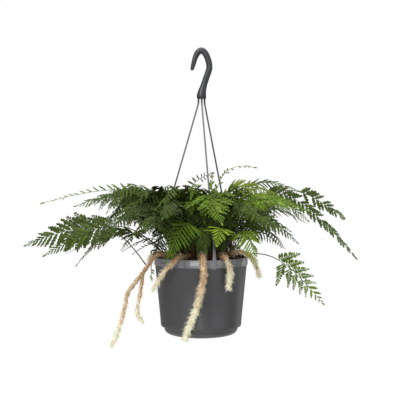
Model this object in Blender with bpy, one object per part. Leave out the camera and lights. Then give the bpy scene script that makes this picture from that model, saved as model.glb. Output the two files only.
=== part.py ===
"""Potted hare's-foot fern in a hanging plastic pot: hook, three arms, pot, saucer, potting mix,
furry rhizomes that creep over the rim, and the fronds.

Lengths are in millimetres and turn into metres where a mesh is written. The origin is the point
that hangs on the rail, under the top of the hook; +Z is up, -Y is the front and +X is the right.
"""

import math

import bmesh
import bpy
from mathutils import Matrix, Vector

MM = 0.001
CLEARANCE = 0.3  # between pieces that touch
FIT = 1.2  # between the saucer's wall and the skirt that it sits in
ROUND_SIDES = 48  # sides of the turned pieces

# Pot
POT_RIM_RADIUS = 70.0
POT_HEIGHT = 102.0  # from the rim's top to the foot of the skirt
POT_BAND_HEIGHT = 11.4
POT_BAND_DEPTH = 1.4  # how far the band stands out from the wall
POT_WALL = 1.4
POT_FOOT_RADIUS = 59.8
POT_FLOOR_UP = 9.0  # from the skirt's foot up to the underside of the floor
POT_FLOOR = 1.6
STAND_RING_RADIUS = 40.0
DRAIN_HOLES = 6
DRAIN_HOLE_RADIUS = 3.6
DRAIN_RING_RADIUS = 26.0
CLIP_SLOT = (2.2, 6.0, 0.9)  # width, height and depth of the slot beside each clip
CLIP_SLOT_ANGLE = 6.0

# Saucer
SAUCER_DEPTH = 11.5  # how far its underside lies below the skirt's foot
SAUCER_WALL = 1.4
SAUCER_CORNER = 8.0
SAUCER_FLARE = 2.6  # how much wider its mouth is than its corner
SAUCER_LAP = 4.0  # how far its wall rises inside the skirt
STUD_RADIUS = 3.2
STUD_HEAD_RADIUS = 4.8
STUD_HEAD_HEIGHT = 2.2

# Hanger
HANGER_DROP = 304.6  # from the hang point down to the rim
HOOK_TIP_RADIUS = 3.4
HOOK_SHANK_RADIUS = 4.8
HOOK_SIDES = 12
HOOK_HUB_X = 0.8
HOOK_HUB_RADIUS = 7.4
HOOK_HUB_BOTTOM = 67.5
SOCKET_DEPTH = 9.0
PLUG_RADIUS = 1.35
PLUG_SHOWING = 7.5  # how much of each plug shows under the hub
SOCKET_WALL = 0.95  # between a socket and the outside of the hub
ARM_RADIUS = 0.95
# Each arm: the direction that it leans to and its plug's place round the hub, in degrees
ARM_ANGLES = {"front": (-74.6, -86.0), "right": (45.4, 16.6), "left": (165.4, 165.4)}
STRAP_WIDTH = 6.5
STRAP_THICKNESS = 1.4
STRAP_ABOVE_RIM = 7.0

# Potting mix
MIX_BELOW_RIM = 5.0
MIX_CROWN = 6.0
MIX_SIDES = 32

# Plant: its points are drawn round a rim of this radius, and follow the real rim
DRAWN_RIM_RADIUS = 70.0
KNEE_WEIGHT = 1.8
STIPE_RADIUS = 0.8
BLADE_DROOP = 0.12
PINNA_PAIRS = 6
PINNA_GAP_SHARE = 0.5
TIP_RADIUS = 0.35
LINE_STEPS = 60  # places along a midrib where a station may stand

PLUG_RING_RADIUS = HOOK_HUB_RADIUS - SOCKET_WALL - CLEARANCE - PLUG_RADIUS
RIM_Z = -HANGER_DROP
FOOT_Z = RIM_Z - POT_HEIGHT
FLOOR_UNDER_Z = FOOT_Z + POT_FLOOR_UP
FLOOR_TOP_Z = FLOOR_UNDER_Z + POT_FLOOR
BASE_Z = FOOT_Z - SAUCER_DEPTH


# ---------------------------------------------------------------- shared helpers

def clear_scene():
    for thing in list(bpy.data.objects):
        bpy.data.objects.remove(thing, do_unlink=True)


def material(name, colour, roughness, metallic=0.0):
    made = bpy.data.materials.new(name)
    made.use_nodes = True
    shader = made.node_tree.nodes["Principled BSDF"]
    shader.inputs["Base Color"].default_value = (*colour, 1.0)
    shader.inputs["Roughness"].default_value = roughness
    shader.inputs["Metallic"].default_value = metallic
    return made


def add_object(name, bm, finish, smooth=True):
    """Closes the mesh's faces outwards, scales it to metres and links it under its name."""
    bmesh.ops.recalc_face_normals(bm, faces=bm.faces)
    bmesh.ops.scale(bm, vec=(MM, MM, MM), verts=bm.verts)
    mesh = bpy.data.meshes.new(name)
    bm.to_mesh(mesh)
    bm.free()
    if smooth:
        mesh.shade_smooth()
        mesh.set_sharp_from_angle(angle=math.radians(35))
    if finish:
        mesh.materials.append(finish)
    thing = bpy.data.objects.new(name, mesh)
    bpy.context.scene.collection.objects.link(thing)
    return thing


def hide_helper(thing):
    thing.hide_render = True
    thing.display_type = "WIRE"
    return thing


def cut(target, cutter, operation="DIFFERENCE"):
    """Gives the target a live Boolean with the helper."""
    step = target.modifiers.new(f"{operation.lower()}_{cutter.name}", "BOOLEAN")
    step.operation = operation
    step.solver = "EXACT"
    step.object = hide_helper(cutter)


def turned(profile, sides):
    """A closed ring of (radius, z) points turned round the Z axis."""
    bm = bmesh.new()
    corners = [bm.verts.new((radius, 0.0, z)) for radius, z in profile]
    edges = [bm.edges.new((a, b)) for a, b in zip(corners, corners[1:] + corners[:1])]
    bmesh.ops.spin(
        bm, geom=corners + edges, cent=(0, 0, 0), axis=(0, 0, 1), angle=math.tau,
        steps=sides, use_merge=True,
    )
    bmesh.ops.remove_doubles(bm, verts=bm.verts, dist=1e-4)
    return bm


def loft(rings):
    """A closed body through rings of points, made by extruding its end face from ring to ring."""
    bm = bmesh.new()
    start = bm.faces.new([bm.verts.new(point) for point in rings[0]])
    end = start
    for before, after in zip(rings, rings[1:]):
        made = bmesh.ops.extrude_face_region(bm, geom=[end])["geom"]
        if end is not start:
            bmesh.ops.delete(bm, geom=[end], context="FACES_ONLY")
        end = next(item for item in made if isinstance(item, bmesh.types.BMFace))
        moves = []
        for start, goal in zip(before, after):
            near = min(end.verts, key=lambda vert: (vert.co - Vector(start)).length)
            moves.append((near, goal))
        for vert, goal in moves:
            vert.co = goal
    return bm


def smooth_path(points, steps):
    """A curve through the points, with this many steps between each two (Catmull-Rom)."""
    ends = [2 * points[0] - points[1], *points, 2 * points[-1] - points[-2]]
    path = []
    for before, here, there, after in zip(ends, ends[1:], ends[2:], ends[3:]):
        for step in range(steps):
            t = step / steps
            path.append(0.5 * (
                2 * here
                + (there - before) * t
                + (2 * before - 5 * here + 4 * there - after) * t * t
                + (3 * here - before - 3 * there + after) * t ** 3
            ))
    return [*path, points[-1]]


def tangents(path):
    ahead = path[1:] + path[-1:]
    behind = path[:1] + path[:-1]
    return [(b - a).normalized() for a, b in zip(behind, ahead)]


def tube_rings(path, radii, sides):
    """Rings of a round tube along a path, carried along without twist."""
    across = None
    rings = []
    for centre, along, radius in zip(path, tangents(path), radii):
        if across is None:
            across = along.cross(Vector((0.0, 0.0, 1.0)))
            if across.length < 0.1:
                across = along.cross(Vector((0.0, 1.0, 0.0)))
        across = (across - across.dot(along) * along).normalized()
        out = along.cross(across)
        rings.append([
            centre
            + across * radius * math.cos(math.tau * side / sides)
            + out * radius * math.sin(math.tau * side / sides)
            for side in range(sides)
        ])
    return rings


def polar(radius, degrees, z):
    angle = math.radians(degrees)
    return Vector((radius * math.cos(angle), radius * math.sin(angle), z))


def drilled(name, radius, centre, height):
    bm = bmesh.new()
    bmesh.ops.create_cone(
        bm, cap_ends=True, segments=16, radius1=radius, radius2=radius, depth=height,
    )
    bmesh.ops.translate(bm, vec=centre, verts=bm.verts)
    return add_object(name, bm, None)


# ---------------------------------------------------------------- pot and saucer

def wall_radius(z):
    """Outer radius of the pot's wall, which tapers from the band down to the foot."""
    top = RIM_Z - POT_BAND_HEIGHT
    share = (top - z) / (top - FOOT_Z)
    return (POT_RIM_RADIUS - POT_BAND_DEPTH) * (1 - share) + POT_FOOT_RADIUS * share


def build_pot(finish):
    band_foot = RIM_Z - POT_BAND_HEIGHT
    ring_inner = STAND_RING_RADIUS - POT_WALL
    ring_foot = BASE_Z + SAUCER_WALL + CLEARANCE
    hole = STUD_RADIUS + CLEARANCE
    bm = turned([
        (POT_RIM_RADIUS, RIM_Z - 0.8),
        (POT_RIM_RADIUS, band_foot + 0.6),
        (POT_RIM_RADIUS - 0.6, band_foot),
        (wall_radius(band_foot), band_foot),
        (wall_radius(FOOT_Z), FOOT_Z),
        (wall_radius(FOOT_Z) - POT_WALL, FOOT_Z),
        (wall_radius(FLOOR_UNDER_Z) - POT_WALL, FLOOR_UNDER_Z),
        (STAND_RING_RADIUS, FLOOR_UNDER_Z),
        (STAND_RING_RADIUS, ring_foot),
        (ring_inner, ring_foot),
        (ring_inner, FLOOR_UNDER_Z),
        (hole, FLOOR_UNDER_Z),
        (hole, FLOOR_TOP_Z),
        (wall_radius(FLOOR_TOP_Z) - POT_WALL, FLOOR_TOP_Z),
        (wall_radius(band_foot) - POT_WALL, band_foot),
        (wall_radius(band_foot) - POT_WALL, RIM_Z),
        (POT_RIM_RADIUS - 0.8, RIM_Z),
    ], ROUND_SIDES)
    pot = add_object("pot", bm, finish)
    for number in range(DRAIN_HOLES):
        centre = polar(DRAIN_RING_RADIUS, 360 * number / DRAIN_HOLES, FLOOR_UNDER_Z)
        cut(pot, drilled(f"drain_cutter_{number}", DRAIN_HOLE_RADIUS, centre, 4 * POT_FLOOR))
    for name, (degrees, _) in ARM_ANGLES.items():
        cut(pot, slot_cutter(f"slot_cutter_{name}", degrees + CLIP_SLOT_ANGLE))
    cut(pot, ring_gap_cutter(ring_foot))
    return pot


def slot_cutter(name, degrees):
    """A block that recesses the band beside a clip."""
    width, height, depth = CLIP_SLOT
    bm = bmesh.new()
    bmesh.ops.create_cube(bm, size=1.0)
    bmesh.ops.scale(bm, vec=(2 * depth, width, height), verts=bm.verts)
    bmesh.ops.translate(bm, vec=(POT_RIM_RADIUS, 0, 0), verts=bm.verts)
    bmesh.ops.translate(bm, vec=(0, 0, RIM_Z - POT_BAND_HEIGHT / 2), verts=bm.verts)
    turn = Matrix.Rotation(math.radians(degrees), 3, "Z")
    bmesh.ops.rotate(bm, cent=(0, 0, 0), matrix=turn, verts=bm.verts)
    return add_object(name, bm, None)


def ring_gap_cutter(ring_foot):
    """A bar across the standing ring, which lets drained water out under the floor."""
    bm = bmesh.new()
    bmesh.ops.create_cube(bm, size=1.0)
    rise = 0.6 * (FLOOR_UNDER_Z - ring_foot)
    bmesh.ops.scale(bm, vec=(2.2 * STAND_RING_RADIUS, 12.0, 2 * rise), verts=bm.verts)
    bmesh.ops.translate(bm, vec=(0, 0, ring_foot), verts=bm.verts)
    return add_object("ring_gap_cutter", bm, None)


def build_saucer(finish):
    mouth_z = FOOT_Z + SAUCER_LAP
    mouth = wall_radius(mouth_z) - POT_WALL - FIT
    corner = mouth - SAUCER_FLARE
    inner_floor = BASE_Z + SAUCER_WALL
    head_under = FLOOR_TOP_Z + CLEARANCE
    arc = []
    for step in range(5):
        angle = math.radians(22.5 * step)
        arc.append((
            corner - SAUCER_CORNER * (1 - math.sin(angle)),
            BASE_Z + SAUCER_CORNER * (1 - math.cos(angle)),
        ))
    inner_arc = []
    inner_corner = SAUCER_CORNER - SAUCER_WALL
    for step in range(4, -1, -1):
        angle = math.radians(22.5 * step)
        inner_arc.append((
            corner - SAUCER_WALL - inner_corner * (1 - math.sin(angle)),
            inner_floor + inner_corner * (1 - math.cos(angle)),
        ))
    profile = [
        *arc,
        (mouth, mouth_z),
        (mouth - SAUCER_WALL, mouth_z),
        *inner_arc,
        (STUD_RADIUS, inner_floor),
        (STUD_RADIUS, head_under),
        (STUD_HEAD_RADIUS, head_under),
        (STUD_RADIUS, head_under + STUD_HEAD_HEIGHT),
    ]
    return add_object("saucer", capped_turning(profile, ROUND_SIDES), finish)


def capped_turning(profile, sides):
    """Turns an open line of (radius, z) points and closes it with a face at each end."""
    bm = bmesh.new()
    corners = [bm.verts.new((radius, 0.0, z)) for radius, z in profile]
    edges = [bm.edges.new(pair) for pair in zip(corners, corners[1:])]
    bmesh.ops.spin(
        bm, geom=corners + edges, cent=(0, 0, 0), axis=(0, 0, 1), angle=math.tau,
        steps=sides, use_merge=True,
    )
    bmesh.ops.remove_doubles(bm, verts=bm.verts, dist=1e-4)
    bmesh.ops.holes_fill(bm, edges=[edge for edge in bm.edges if edge.is_boundary], sides=0)
    return bm


def mix_edge_radius(z):
    """The potting mix stays this far out, just inside the wall."""
    return wall_radius(min(z, RIM_Z - POT_BAND_HEIGHT)) - POT_WALL - CLEARANCE


def mix_top(radius):
    """Height of the potting mix's surface, a low mound."""
    edge = mix_edge_radius(RIM_Z - MIX_BELOW_RIM)
    share = min(1.0, radius / edge)
    return RIM_Z - MIX_BELOW_RIM + MIX_CROWN * (1 - share * share)


def build_mix(finish):
    edge = mix_edge_radius(RIM_Z)
    band_foot = RIM_Z - POT_BAND_HEIGHT
    bottom = FLOOR_TOP_Z + CLEARANCE
    dome = [(edge * share, mix_top(edge * share)) for share in (1.0, 0.75, 0.5, 0.25, 0.04)]
    recess_top = bottom + STUD_HEAD_HEIGHT + 1.0
    recess = STUD_HEAD_RADIUS + 1.0
    profile = [
        (0.5 * STUD_RADIUS, recess_top),
        (recess, recess_top),
        (recess, bottom),
        (mix_edge_radius(bottom), bottom),
        (mix_edge_radius(band_foot), band_foot),
        *dome,
    ]
    return add_object("potting_mix", capped_turning(profile, MIX_SIDES), finish)


# ---------------------------------------------------------------- hanger

# The middle of the hook's rod, from its tip over the bend and down its shank (x, z)
HOOK_LINE = (
    (-14.0, -25.6), (-11.3, -15.8), (-8.3, -5.3), (-4.5, 1.5), (0.8, 4.5), (6.0, 0.8),
    (9.8, -6.8), (12.0, -14.3), (12.5, -21.8), (10.8, -28.5), (8.3, -35.3), (5.3, -44.3),
)
# How the shank swells into the hub: (x, height above the hub's end, share of the hub's radius)
HUB_SWELL = ((3.2, 16.0, 0.70), (1.6, 10.0, 0.86), (0.0, 5.0, 0.96), (0.0, 1.2, 1.0))


def hub_end():
    return Vector((HOOK_HUB_X, 0.0, -HOOK_HUB_BOTTOM))


def build_hook(finish):
    """A J-shaped rod that swells into a hub with a socket for each arm."""
    path = smooth_path([Vector((x, 0.0, z)) for x, z in HOOK_LINE], 2)
    last = len(path) - 1
    thickening = HOOK_SHANK_RADIUS - HOOK_TIP_RADIUS
    radii = [
        HOOK_TIP_RADIUS + thickening * min(1.0, 2.2 * place / last) for place in range(last + 1)
    ]
    for x, rise, share in HUB_SWELL:
        path.append(hub_end() + Vector((x, 0.0, rise)))
        radii.append(share * HOOK_HUB_RADIUS)
    path.append(hub_end())
    radii.append(0.84 * HOOK_HUB_RADIUS)
    rings = tube_rings(path, radii, HOOK_SIDES)
    nose = path[0] - tangents(path)[0] * HOOK_TIP_RADIUS / 2
    rings.insert(0, [nose + 0.55 * (point - path[0]) for point in rings[0]])
    rings[-1] = [Vector((point.x, point.y, hub_end().z)) for point in rings[-1]]
    hook = add_object("hanger_hook", loft(rings), finish)
    for name, (_, plug_degrees) in ARM_ANGLES.items():
        centre = hub_end() + polar(PLUG_RING_RADIUS, plug_degrees, 0.0)
        socket = drilled(f"socket_cutter_{name}", PLUG_RADIUS + CLEARANCE, centre, 2 * SOCKET_DEPTH)
        cut(hook, socket)
    return hook


def build_arm(name, degrees, plug_degrees, finish):
    """A thin rod from its socket to the rim, ending in a strap that laps the band and hooks under."""
    away = polar(1.0, degrees, 0.0)
    strap_radius = POT_RIM_RADIUS + CLEARANCE + STRAP_THICKNESS / 2
    strap_foot = RIM_Z - POT_BAND_HEIGHT - CLEARANCE - STRAP_THICKNESS / 2
    top = hub_end() + polar(PLUG_RING_RADIUS, plug_degrees, 0.0)
    rod_top = top - Vector((0, 0, PLUG_SHOWING))
    strap_top = away * strap_radius + Vector((0, 0, RIM_Z + STRAP_ABOVE_RIM))
    shoulder = rod_top.lerp(strap_top, 0.9)
    lip = polar(strap_radius - POT_BAND_DEPTH - 0.6, degrees, strap_foot)
    rod = 2 * ARM_RADIUS
    plug = 2 * PLUG_RADIUS
    stations = (
        (top + Vector((0, 0, SOCKET_DEPTH - CLEARANCE)), plug, plug),
        (rod_top, plug, plug),
        (rod_top.lerp(strap_top, 0.02), rod, rod),
        (shoulder, rod, rod),
        (shoulder.lerp(strap_top, 0.4), 1.8 * rod, rod),
        (strap_top, STRAP_WIDTH, STRAP_THICKNESS),
        (away * strap_radius + Vector((0, 0, strap_foot)), STRAP_WIDTH, STRAP_THICKNESS),
        (lip, STRAP_WIDTH, 0.8 * STRAP_THICKNESS),
    )
    aside = away.cross(Vector((0, 0, 1)))
    path = [place for place, _, _ in stations]
    rings = []
    for place, along, (_, width, depth) in zip(path, tangents(path), stations):
        out = along.cross(aside).normalized()
        if (place - path[-2]).length < 1e-6:
            depth *= math.sqrt(2)
        rings.append([
            place + aside * width / 2 * across + out * depth / 2 * through
            for across, through in (
                (1, -0.45), (1, 0.45), (0.45, 1), (-0.45, 1),
                (-1, 0.45), (-1, -0.45), (-0.45, -1), (0.45, -1),
            )
        ])
    return add_object(f"hanger_arm_{name}", loft(rings), finish, smooth=False)


# ---------------------------------------------------------------- plant

def on_pot(x, y, above_rim):
    """A point of the plant, drawn round the drawn rim, moved with the real rim."""
    point = Vector((x, y))
    if point.length > DRAWN_RIM_RADIUS:
        point = point + point.normalized() * (POT_RIM_RADIUS - DRAWN_RIM_RADIUS)
    else:
        point = point * POT_RIM_RADIUS / DRAWN_RIM_RADIUS
    return Vector((point.x, point.y, RIM_Z + above_rim))


# Each rhizome: radius at its start and tip, then points (x, y, height above the rim)
RHIZOMES = {
    "left_long": (2.9, 2.0, [
        (-14, -3, 5.6), (-40, -16, 4.0), (-63, -30, 5.0), (-74, -31, -6), (-85, -30, -22),
        (-98, -30, -38), (-107, -30, -52), (-111, -30, -72), (-117, -30, -94),
        (-125, -30, -117), (-131, -30, -129),
    ]),
    "left_short": (3.4, 1.8, [
        (-14, -24, 5.2), (-24, -46, 3.4), (-31, -61, 4.2), (-41, -68, -5), (-52, -62, -16),
        (-60, -58, -30), (-66, -55, -38), (-70, -55, -45),
    ]),
    "front": (4.6, 3.2, [
        (6, -30, 5.8), (3, -52, 4.8), (2, -70, 5.8), (2.5, -77, -4), (4, -77, -20),
        (0, -76, -40), (-5, -75, -62), (-13, -74, -84), (-20, -73, -101), (-23, -73, -112),
    ]),
    "front_right": (3.6, 2.6, [
        (26, -34, 4.6), (31, -52, 3.8), (34, -62, 4.2), (38.5, -66, -6), (41, -64, -16),
        (40, -63, -28), (39, -62, -41),
    ]),
    "right": (3.4, 2.4, [
        (20, -12, 5.6), (40, -26, 5.0), (55, -31, 9.6), (64, -31, 7.6), (71, -29, 3.0),
        (78, -27, -7), (83, -25, -18), (86, -24, -29),
    ]),
    "far_left": (3.4, 2.8, [
        (-34, 4, 4.0), (-52, 5, 3.4), (-65, 5, 5.0), (-74, 5, 0.0), (-79, 5, -9),
    ]),
    "back_left": (3.6, 2.4, [
        (-16, 22, 4.8), (-32, 42, 3.6), (-44, 55, 4.6), (-52, 63, -3), (-57, 68, -20),
        (-60, 68, -42), (-66, 70, -64),
    ]),
    "back": (3.8, 2.6, [
        (2, 30, 5.0), (6, 50, 3.8), (8, 68, 4.6), (9, 77, -5), (10, 77, -24), (6, 76, -46),
    ]),
    "back_right": (3.4, 2.4, [
        (26, 12, 4.8), (46, 22, 3.6), (60, 32, 4.6), (65, 42, -4), (65, 50, -20), (62, 55, -40),
    ]),
}
SIDE_SHOOT = (2.2, 1.9, [
    (-85, -30, -22), (-86, -29, -34), (-89, -28, -52), (-92, -28, -68), (-93, -28, -80),
    (-89, -28, -89), (-84, -28, -95),
])
RHIZOME_SIDES = 7


def rhizome_body(start_radius, tip_radius, points):
    path = smooth_path([on_pot(*point) for point in points], 2)
    last = len(path) - 1
    radii = [
        start_radius + (tip_radius - start_radius) * place / last for place in range(last + 1)
    ]
    rings = tube_rings(path, radii, RHIZOME_SIDES)
    for at, to in ((0, -1), (-1, 1)):
        nose = path[at] + tangents(path)[at] * to * radii[at] * 0.7
        cap = [nose + 0.45 * (point - path[at]) for point in rings[at]]
        rings = [cap, *rings] if at == 0 else [*rings, cap]
    return loft(rings)


def build_rhizomes(finish):
    for name, (start_radius, tip_radius, points) in RHIZOMES.items():
        body = rhizome_body(start_radius, tip_radius, points)
        rhizome = add_object(f"rhizome_{name}", body, finish)
        if name == "left_long":
            shoot = add_object("side_shoot", rhizome_body(*SIDE_SHOOT), finish)
            cut(rhizome, shoot, "UNION")


# Each frond: root (x, y), knee and tip (x, y, height above the rim), half width of its blade,
# roll of the blade about its midrib in degrees, share of the midrib that is bare stalk.
# A root with a third number stands on a rhizome at that height.
FRONDS = {
    "left_top": ((-38, 12), (-75, 14, 125), (-240, 8, 80), 20, -74, 0.42),
    "left_upper": ((-30, -6), (-62, -22, 118), (-182, -38, 76), 34, -35, 0.4),
    "left_big": ((-81, -30, -9), (-134, -30, 68), (-258, -26, 18), 34, -62, 0.48),
    "left_mid": ((-48, -12), (-112, -50, 72), (-222, -62, 6), 28, -62, 0.46),
    "left_low": ((-48, -4), (-128, 0, 66), (-187, 0, -13), 22, -40, 0.36),
    "left_thin": ((-44, 16), (-112, 42, 54), (-209, 46, 2), 18, -25, 0.38),
    "left_small": ((-50, 13), (-68, 6, 40), (-118, 4, 8), 11, -20, 0.4),
    "left_tiny": ((-52, -8), (-64, -14, 30), (-101, -18, 5), 7, -30, 0.4),
    "front_left_upper": ((-20, -14), (-56, -52, 110), (-122, -120, 44), 34, -25, 0.4),
    "front_left_lower": ((-28, -34), (-50, -90, 84), (-90, -142, 38), 26, -10, 0.45),
    "front_left_hanging": ((-10, -38), (-12, -104, 84), (-48, -104, 0), 26, 0, 0.46),
    "front_dark": ((-4, -44), (-2, -102, 70), (8, -96, 14), 24, 0, 0.45),
    "front_broad": ((2, -18), (2, -70, 126), (26, -176, 55), 44, 4, 0.34),
    "front_lime": ((20, -36), (30, -126, 66), (20, -134, 24), 16, 0, 0.6),
    "front_right_long": ((14, -16), (52, -50, 108), (148, -74, 70), 26, 30, 0.36),
    "front_right_dark": ((26, -24), (62, -60, 76), (110, -92, 42), 30, 45, 0.36),
    "front_right_hanging": ((38, -40), (60, -95, 69), (76, -94, -8), 28, 0, 0.4),
    "right_dark": ((40, 6), (88, 10, 78), (146, 6, 20), 28, 50, 0.36),
    "right_thin": ((44, -14), (84, -16, 54), (119, -16, 15), 18, 30, 0.4),
    "right_feathery": ((34, -4), (92, -6, 112), (158, -20, 54), 26, 50, 0.42),
    "right_long": ((28, 22), (108, 34, 149), (238, 26, -4), 18, 75, 0.4),
    "right_long_upper": ((22, 32), (122, 52, 138), (227, 50, 54), 16, 70, 0.68),
    "right_top": ((20, 14), (62, 14, 132), (149, 6, 98), 15, 50, 0.4),
    "right_olive": ((10, 4), (38, -4, 130), (122, -20, 86), 18, 45, 0.36),
    "right_hanging": ((46, 3), (110, -6, 16), (181, -16, -69), 34, 75, 0.42),
    "top_sparse": ((6, 12), (24, 16, 146), (83, 12, 134), 6, 70, 0.45),
    "top_young": ((-16, 10), (-30, 10, 112), (20, 8, 126), 11, 80, 0.66),
    "top_bright": ((6, -6), (16, -12, 76), (17, -10, 126), 8, -44, 0.66),
    "left_inner": ((-24, -18), (-50, -38, 92), (-130, -84, 52), 30, -30, 0.42),
    "front_left_inner": ((-6, -26), (-30, -62, 110), (-50, -156, 60), 30, -10, 0.4),
    "front_right_inner": ((20, -28), (44, -76, 106), (84, -150, 52), 28, 10, 0.42),
    "right_inner": ((32, -14), (64, -34, 88), (128, -52, 40), 22, 25, 0.45),
    "back_top": ((-4, 20), (-6, 66, 130), (-20, 156, 84), 30, 0, 0.4),
    "back_right": ((18, 26), (48, 84, 112), (112, 186, 56), 36, 10, 0.38),
    "back": ((14, 42), (16, 96, 110), (30, 214, 42), 38, 0, 0.38),
    "back_left": ((-8, 34), (-26, 92, 112), (-64, 204, 50), 38, 0, 0.38),
    "back_far_left": ((-34, 26), (-64, 78, 108), (-142, 160, 52), 34, -10, 0.38),
    "left_back": ((-34, 24), (-84, 52, 98), (-186, 100, 40), 30, -15, 0.4),
    "right_back": ((22, 42), (84, 58, 104), (176, 112, 46), 32, 15, 0.4),
    "back_low": ((16, 52), (26, 104, 66), (48, 158, -6), 26, 0, 0.45),
    "back_left_low": ((-22, 48), (-46, 98, 62), (-78, 146, -8), 26, 0, 0.45),
    "back_right_low": ((46, 34), (88, 76, 66), (140, 114, 4), 24, 10, 0.45),
    "left_back_low": ((-46, 30), (-88, 70, 60), (-132, 108, 2), 24, -10, 0.45),
}


def frond_point(root, knee, tip, t):
    """A point on the arch that leaves the root towards the knee and reaches the tip from it."""
    shares = ((1 - t) ** 2, 2 * KNEE_WEIGHT * t * (1 - t), t * t)
    total = sum(shares)
    return (root * shares[0] + knee * shares[1] + tip * shares[2]) / total


def frond_line(root, knee, tip, count):
    """Points spaced evenly along the arch."""
    last = 2 * count
    fine = [frond_point(root, knee, tip, step / last) for step in range(last + 1)]
    reach = [0.0]
    for before, after in zip(fine, fine[1:]):
        reach.append(reach[-1] + (after - before).length)
    line = []
    place = 0
    for step in range(count + 1):
        want = reach[-1] * step / count
        while place < last - 1 and reach[place + 1] < want:
            place += 1
        share = (want - reach[place]) / (reach[place + 1] - reach[place])
        line.append(fine[place].lerp(fine[place + 1], share))
    return line


def blade_width(share):
    """Half width of a triangular blade with a drawn-out tip, as a share of its widest."""
    return min(1.0, share / 0.1) * (1 - share) ** 1.2


def frond_stations(stalk):
    """(place on the midrib, half width as a share, how far its edge sweeps to the tip)."""
    stations = [(0.0, 0.0, 0.0), (0.5 * stalk, 0.0, 0.0), (stalk, 0.0, 0.0)]
    for pair in range(PINNA_PAIRS):
        middle = (pair + 0.45) / (PINNA_PAIRS + 0.4)
        gap = (pair + 1.0) / (PINNA_PAIRS + 0.4)
        stations.append((stalk + (1 - stalk) * middle, blade_width(middle), 0.35))
        stations.append((stalk + (1 - stalk) * gap, PINNA_GAP_SHARE * blade_width(gap), 0.0))
    return [*stations, (1.0, 0.0, 0.0)]


def build_frond(name, root, knee, tip, half_width, roll, stalk, finish):
    """A stalk that widens into a thin triangular blade with a toothed edge."""
    if len(root) == 2:
        foot = on_pot(*root, 0.0)
        foot.z = mix_top(foot.xy.length) + 2 * CLEARANCE
    else:
        foot = on_pot(*root)
    knee = on_pot(*knee)
    tip = on_pot(*tip)
    line = frond_line(foot, knee, tip, LINE_STEPS)
    length = sum((after - before).length for before, after in zip(line, line[1:]))
    flat = (knee - foot).cross(tip - knee).normalized()
    turn = math.radians(roll)
    along_line = tangents(line)
    rings = []
    for place, width, sweep in frond_stations(stalk):
        index = round(place * LINE_STEPS)
        centre = line[index]
        along = along_line[index]
        up = flat.cross(along)
        across = flat * math.cos(turn) - up * math.sin(turn)
        normal = up * math.cos(turn) + flat * math.sin(turn)
        radius = STIPE_RADIUS + (TIP_RADIUS - STIPE_RADIUS) * place
        reach = radius + half_width * width
        forward = along * sweep * (1 - stalk) * length / PINNA_PAIRS
        forward -= normal * BLADE_DROOP * half_width * width
        rings.append([
            centre - across * reach + forward,
            centre + normal * radius,
            centre + across * reach + forward,
            centre - normal * radius,
        ])
    return add_object(f"frond_{name}", loft(rings), finish, smooth=False)


def build_fronds(finishes):
    for number, (name, spec) in enumerate(FRONDS.items()):
        build_frond(name, *spec, finishes[number % len(finishes)])


def main():
    clear_scene()
    dark_plastic = material("dark_grey_plastic", (0.085, 0.082, 0.088), 0.42)
    hanger_plastic = material("hanger_plastic", (0.07, 0.078, 0.088), 0.38)
    mix = material("potting_mix", (0.06, 0.035, 0.02), 0.95)
    fur = material("rhizome_fur", (0.55, 0.42, 0.27), 0.9)
    greens = [
        material("frond_dark", (0.03, 0.085, 0.018), 0.5),
        material("frond_mid", (0.05, 0.14, 0.022), 0.5),
        material("frond_light", (0.11, 0.24, 0.03), 0.5),
    ]
    build_pot(dark_plastic)
    build_saucer(dark_plastic)
    build_mix(mix)
    build_hook(hanger_plastic)
    for name, (degrees, plug_degrees) in ARM_ANGLES.items():
        build_arm(name, degrees, plug_degrees, hanger_plastic)
    build_rhizomes(fur)
    build_fronds(greens)


main()
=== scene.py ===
"""Looks of a hare's-foot fern in its hanging pot.

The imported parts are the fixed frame. Each sub-assembly below is a class that builds its fine meshes
where those parts lie and dresses them. Lengths in the tables are millimetres; meshes are in metres.
"""

from __future__ import annotations

import logging
import math
from dataclasses import dataclass, field
from enum import Enum

import bmesh
import bpy
import numpy as np
from mathutils import Matrix, Vector


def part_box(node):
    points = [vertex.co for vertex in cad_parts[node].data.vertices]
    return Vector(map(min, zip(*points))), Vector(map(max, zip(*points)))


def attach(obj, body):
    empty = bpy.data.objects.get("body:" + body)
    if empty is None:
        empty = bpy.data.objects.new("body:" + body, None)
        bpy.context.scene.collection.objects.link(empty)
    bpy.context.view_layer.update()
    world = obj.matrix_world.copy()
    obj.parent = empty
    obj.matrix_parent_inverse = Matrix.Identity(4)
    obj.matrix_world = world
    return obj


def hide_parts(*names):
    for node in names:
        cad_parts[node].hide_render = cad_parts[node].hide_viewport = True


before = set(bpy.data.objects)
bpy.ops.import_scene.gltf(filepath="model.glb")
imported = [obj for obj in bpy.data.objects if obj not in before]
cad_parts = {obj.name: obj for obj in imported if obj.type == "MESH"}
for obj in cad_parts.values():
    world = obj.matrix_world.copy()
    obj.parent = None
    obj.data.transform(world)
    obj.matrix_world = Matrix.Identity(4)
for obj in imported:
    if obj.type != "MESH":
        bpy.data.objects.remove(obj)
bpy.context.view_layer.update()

Mesh = bpy.types.Mesh
Material = bpy.types.Material
Socket = bpy.types.NodeSocket
Draws = np.random.Generator
Array = np.ndarray
Pair = tuple[float, float]
Triple = tuple[float, float, float]

MM = 0.001
BODY = "root"
log = logging.getLogger("fern")


# ------------ choices

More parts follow.
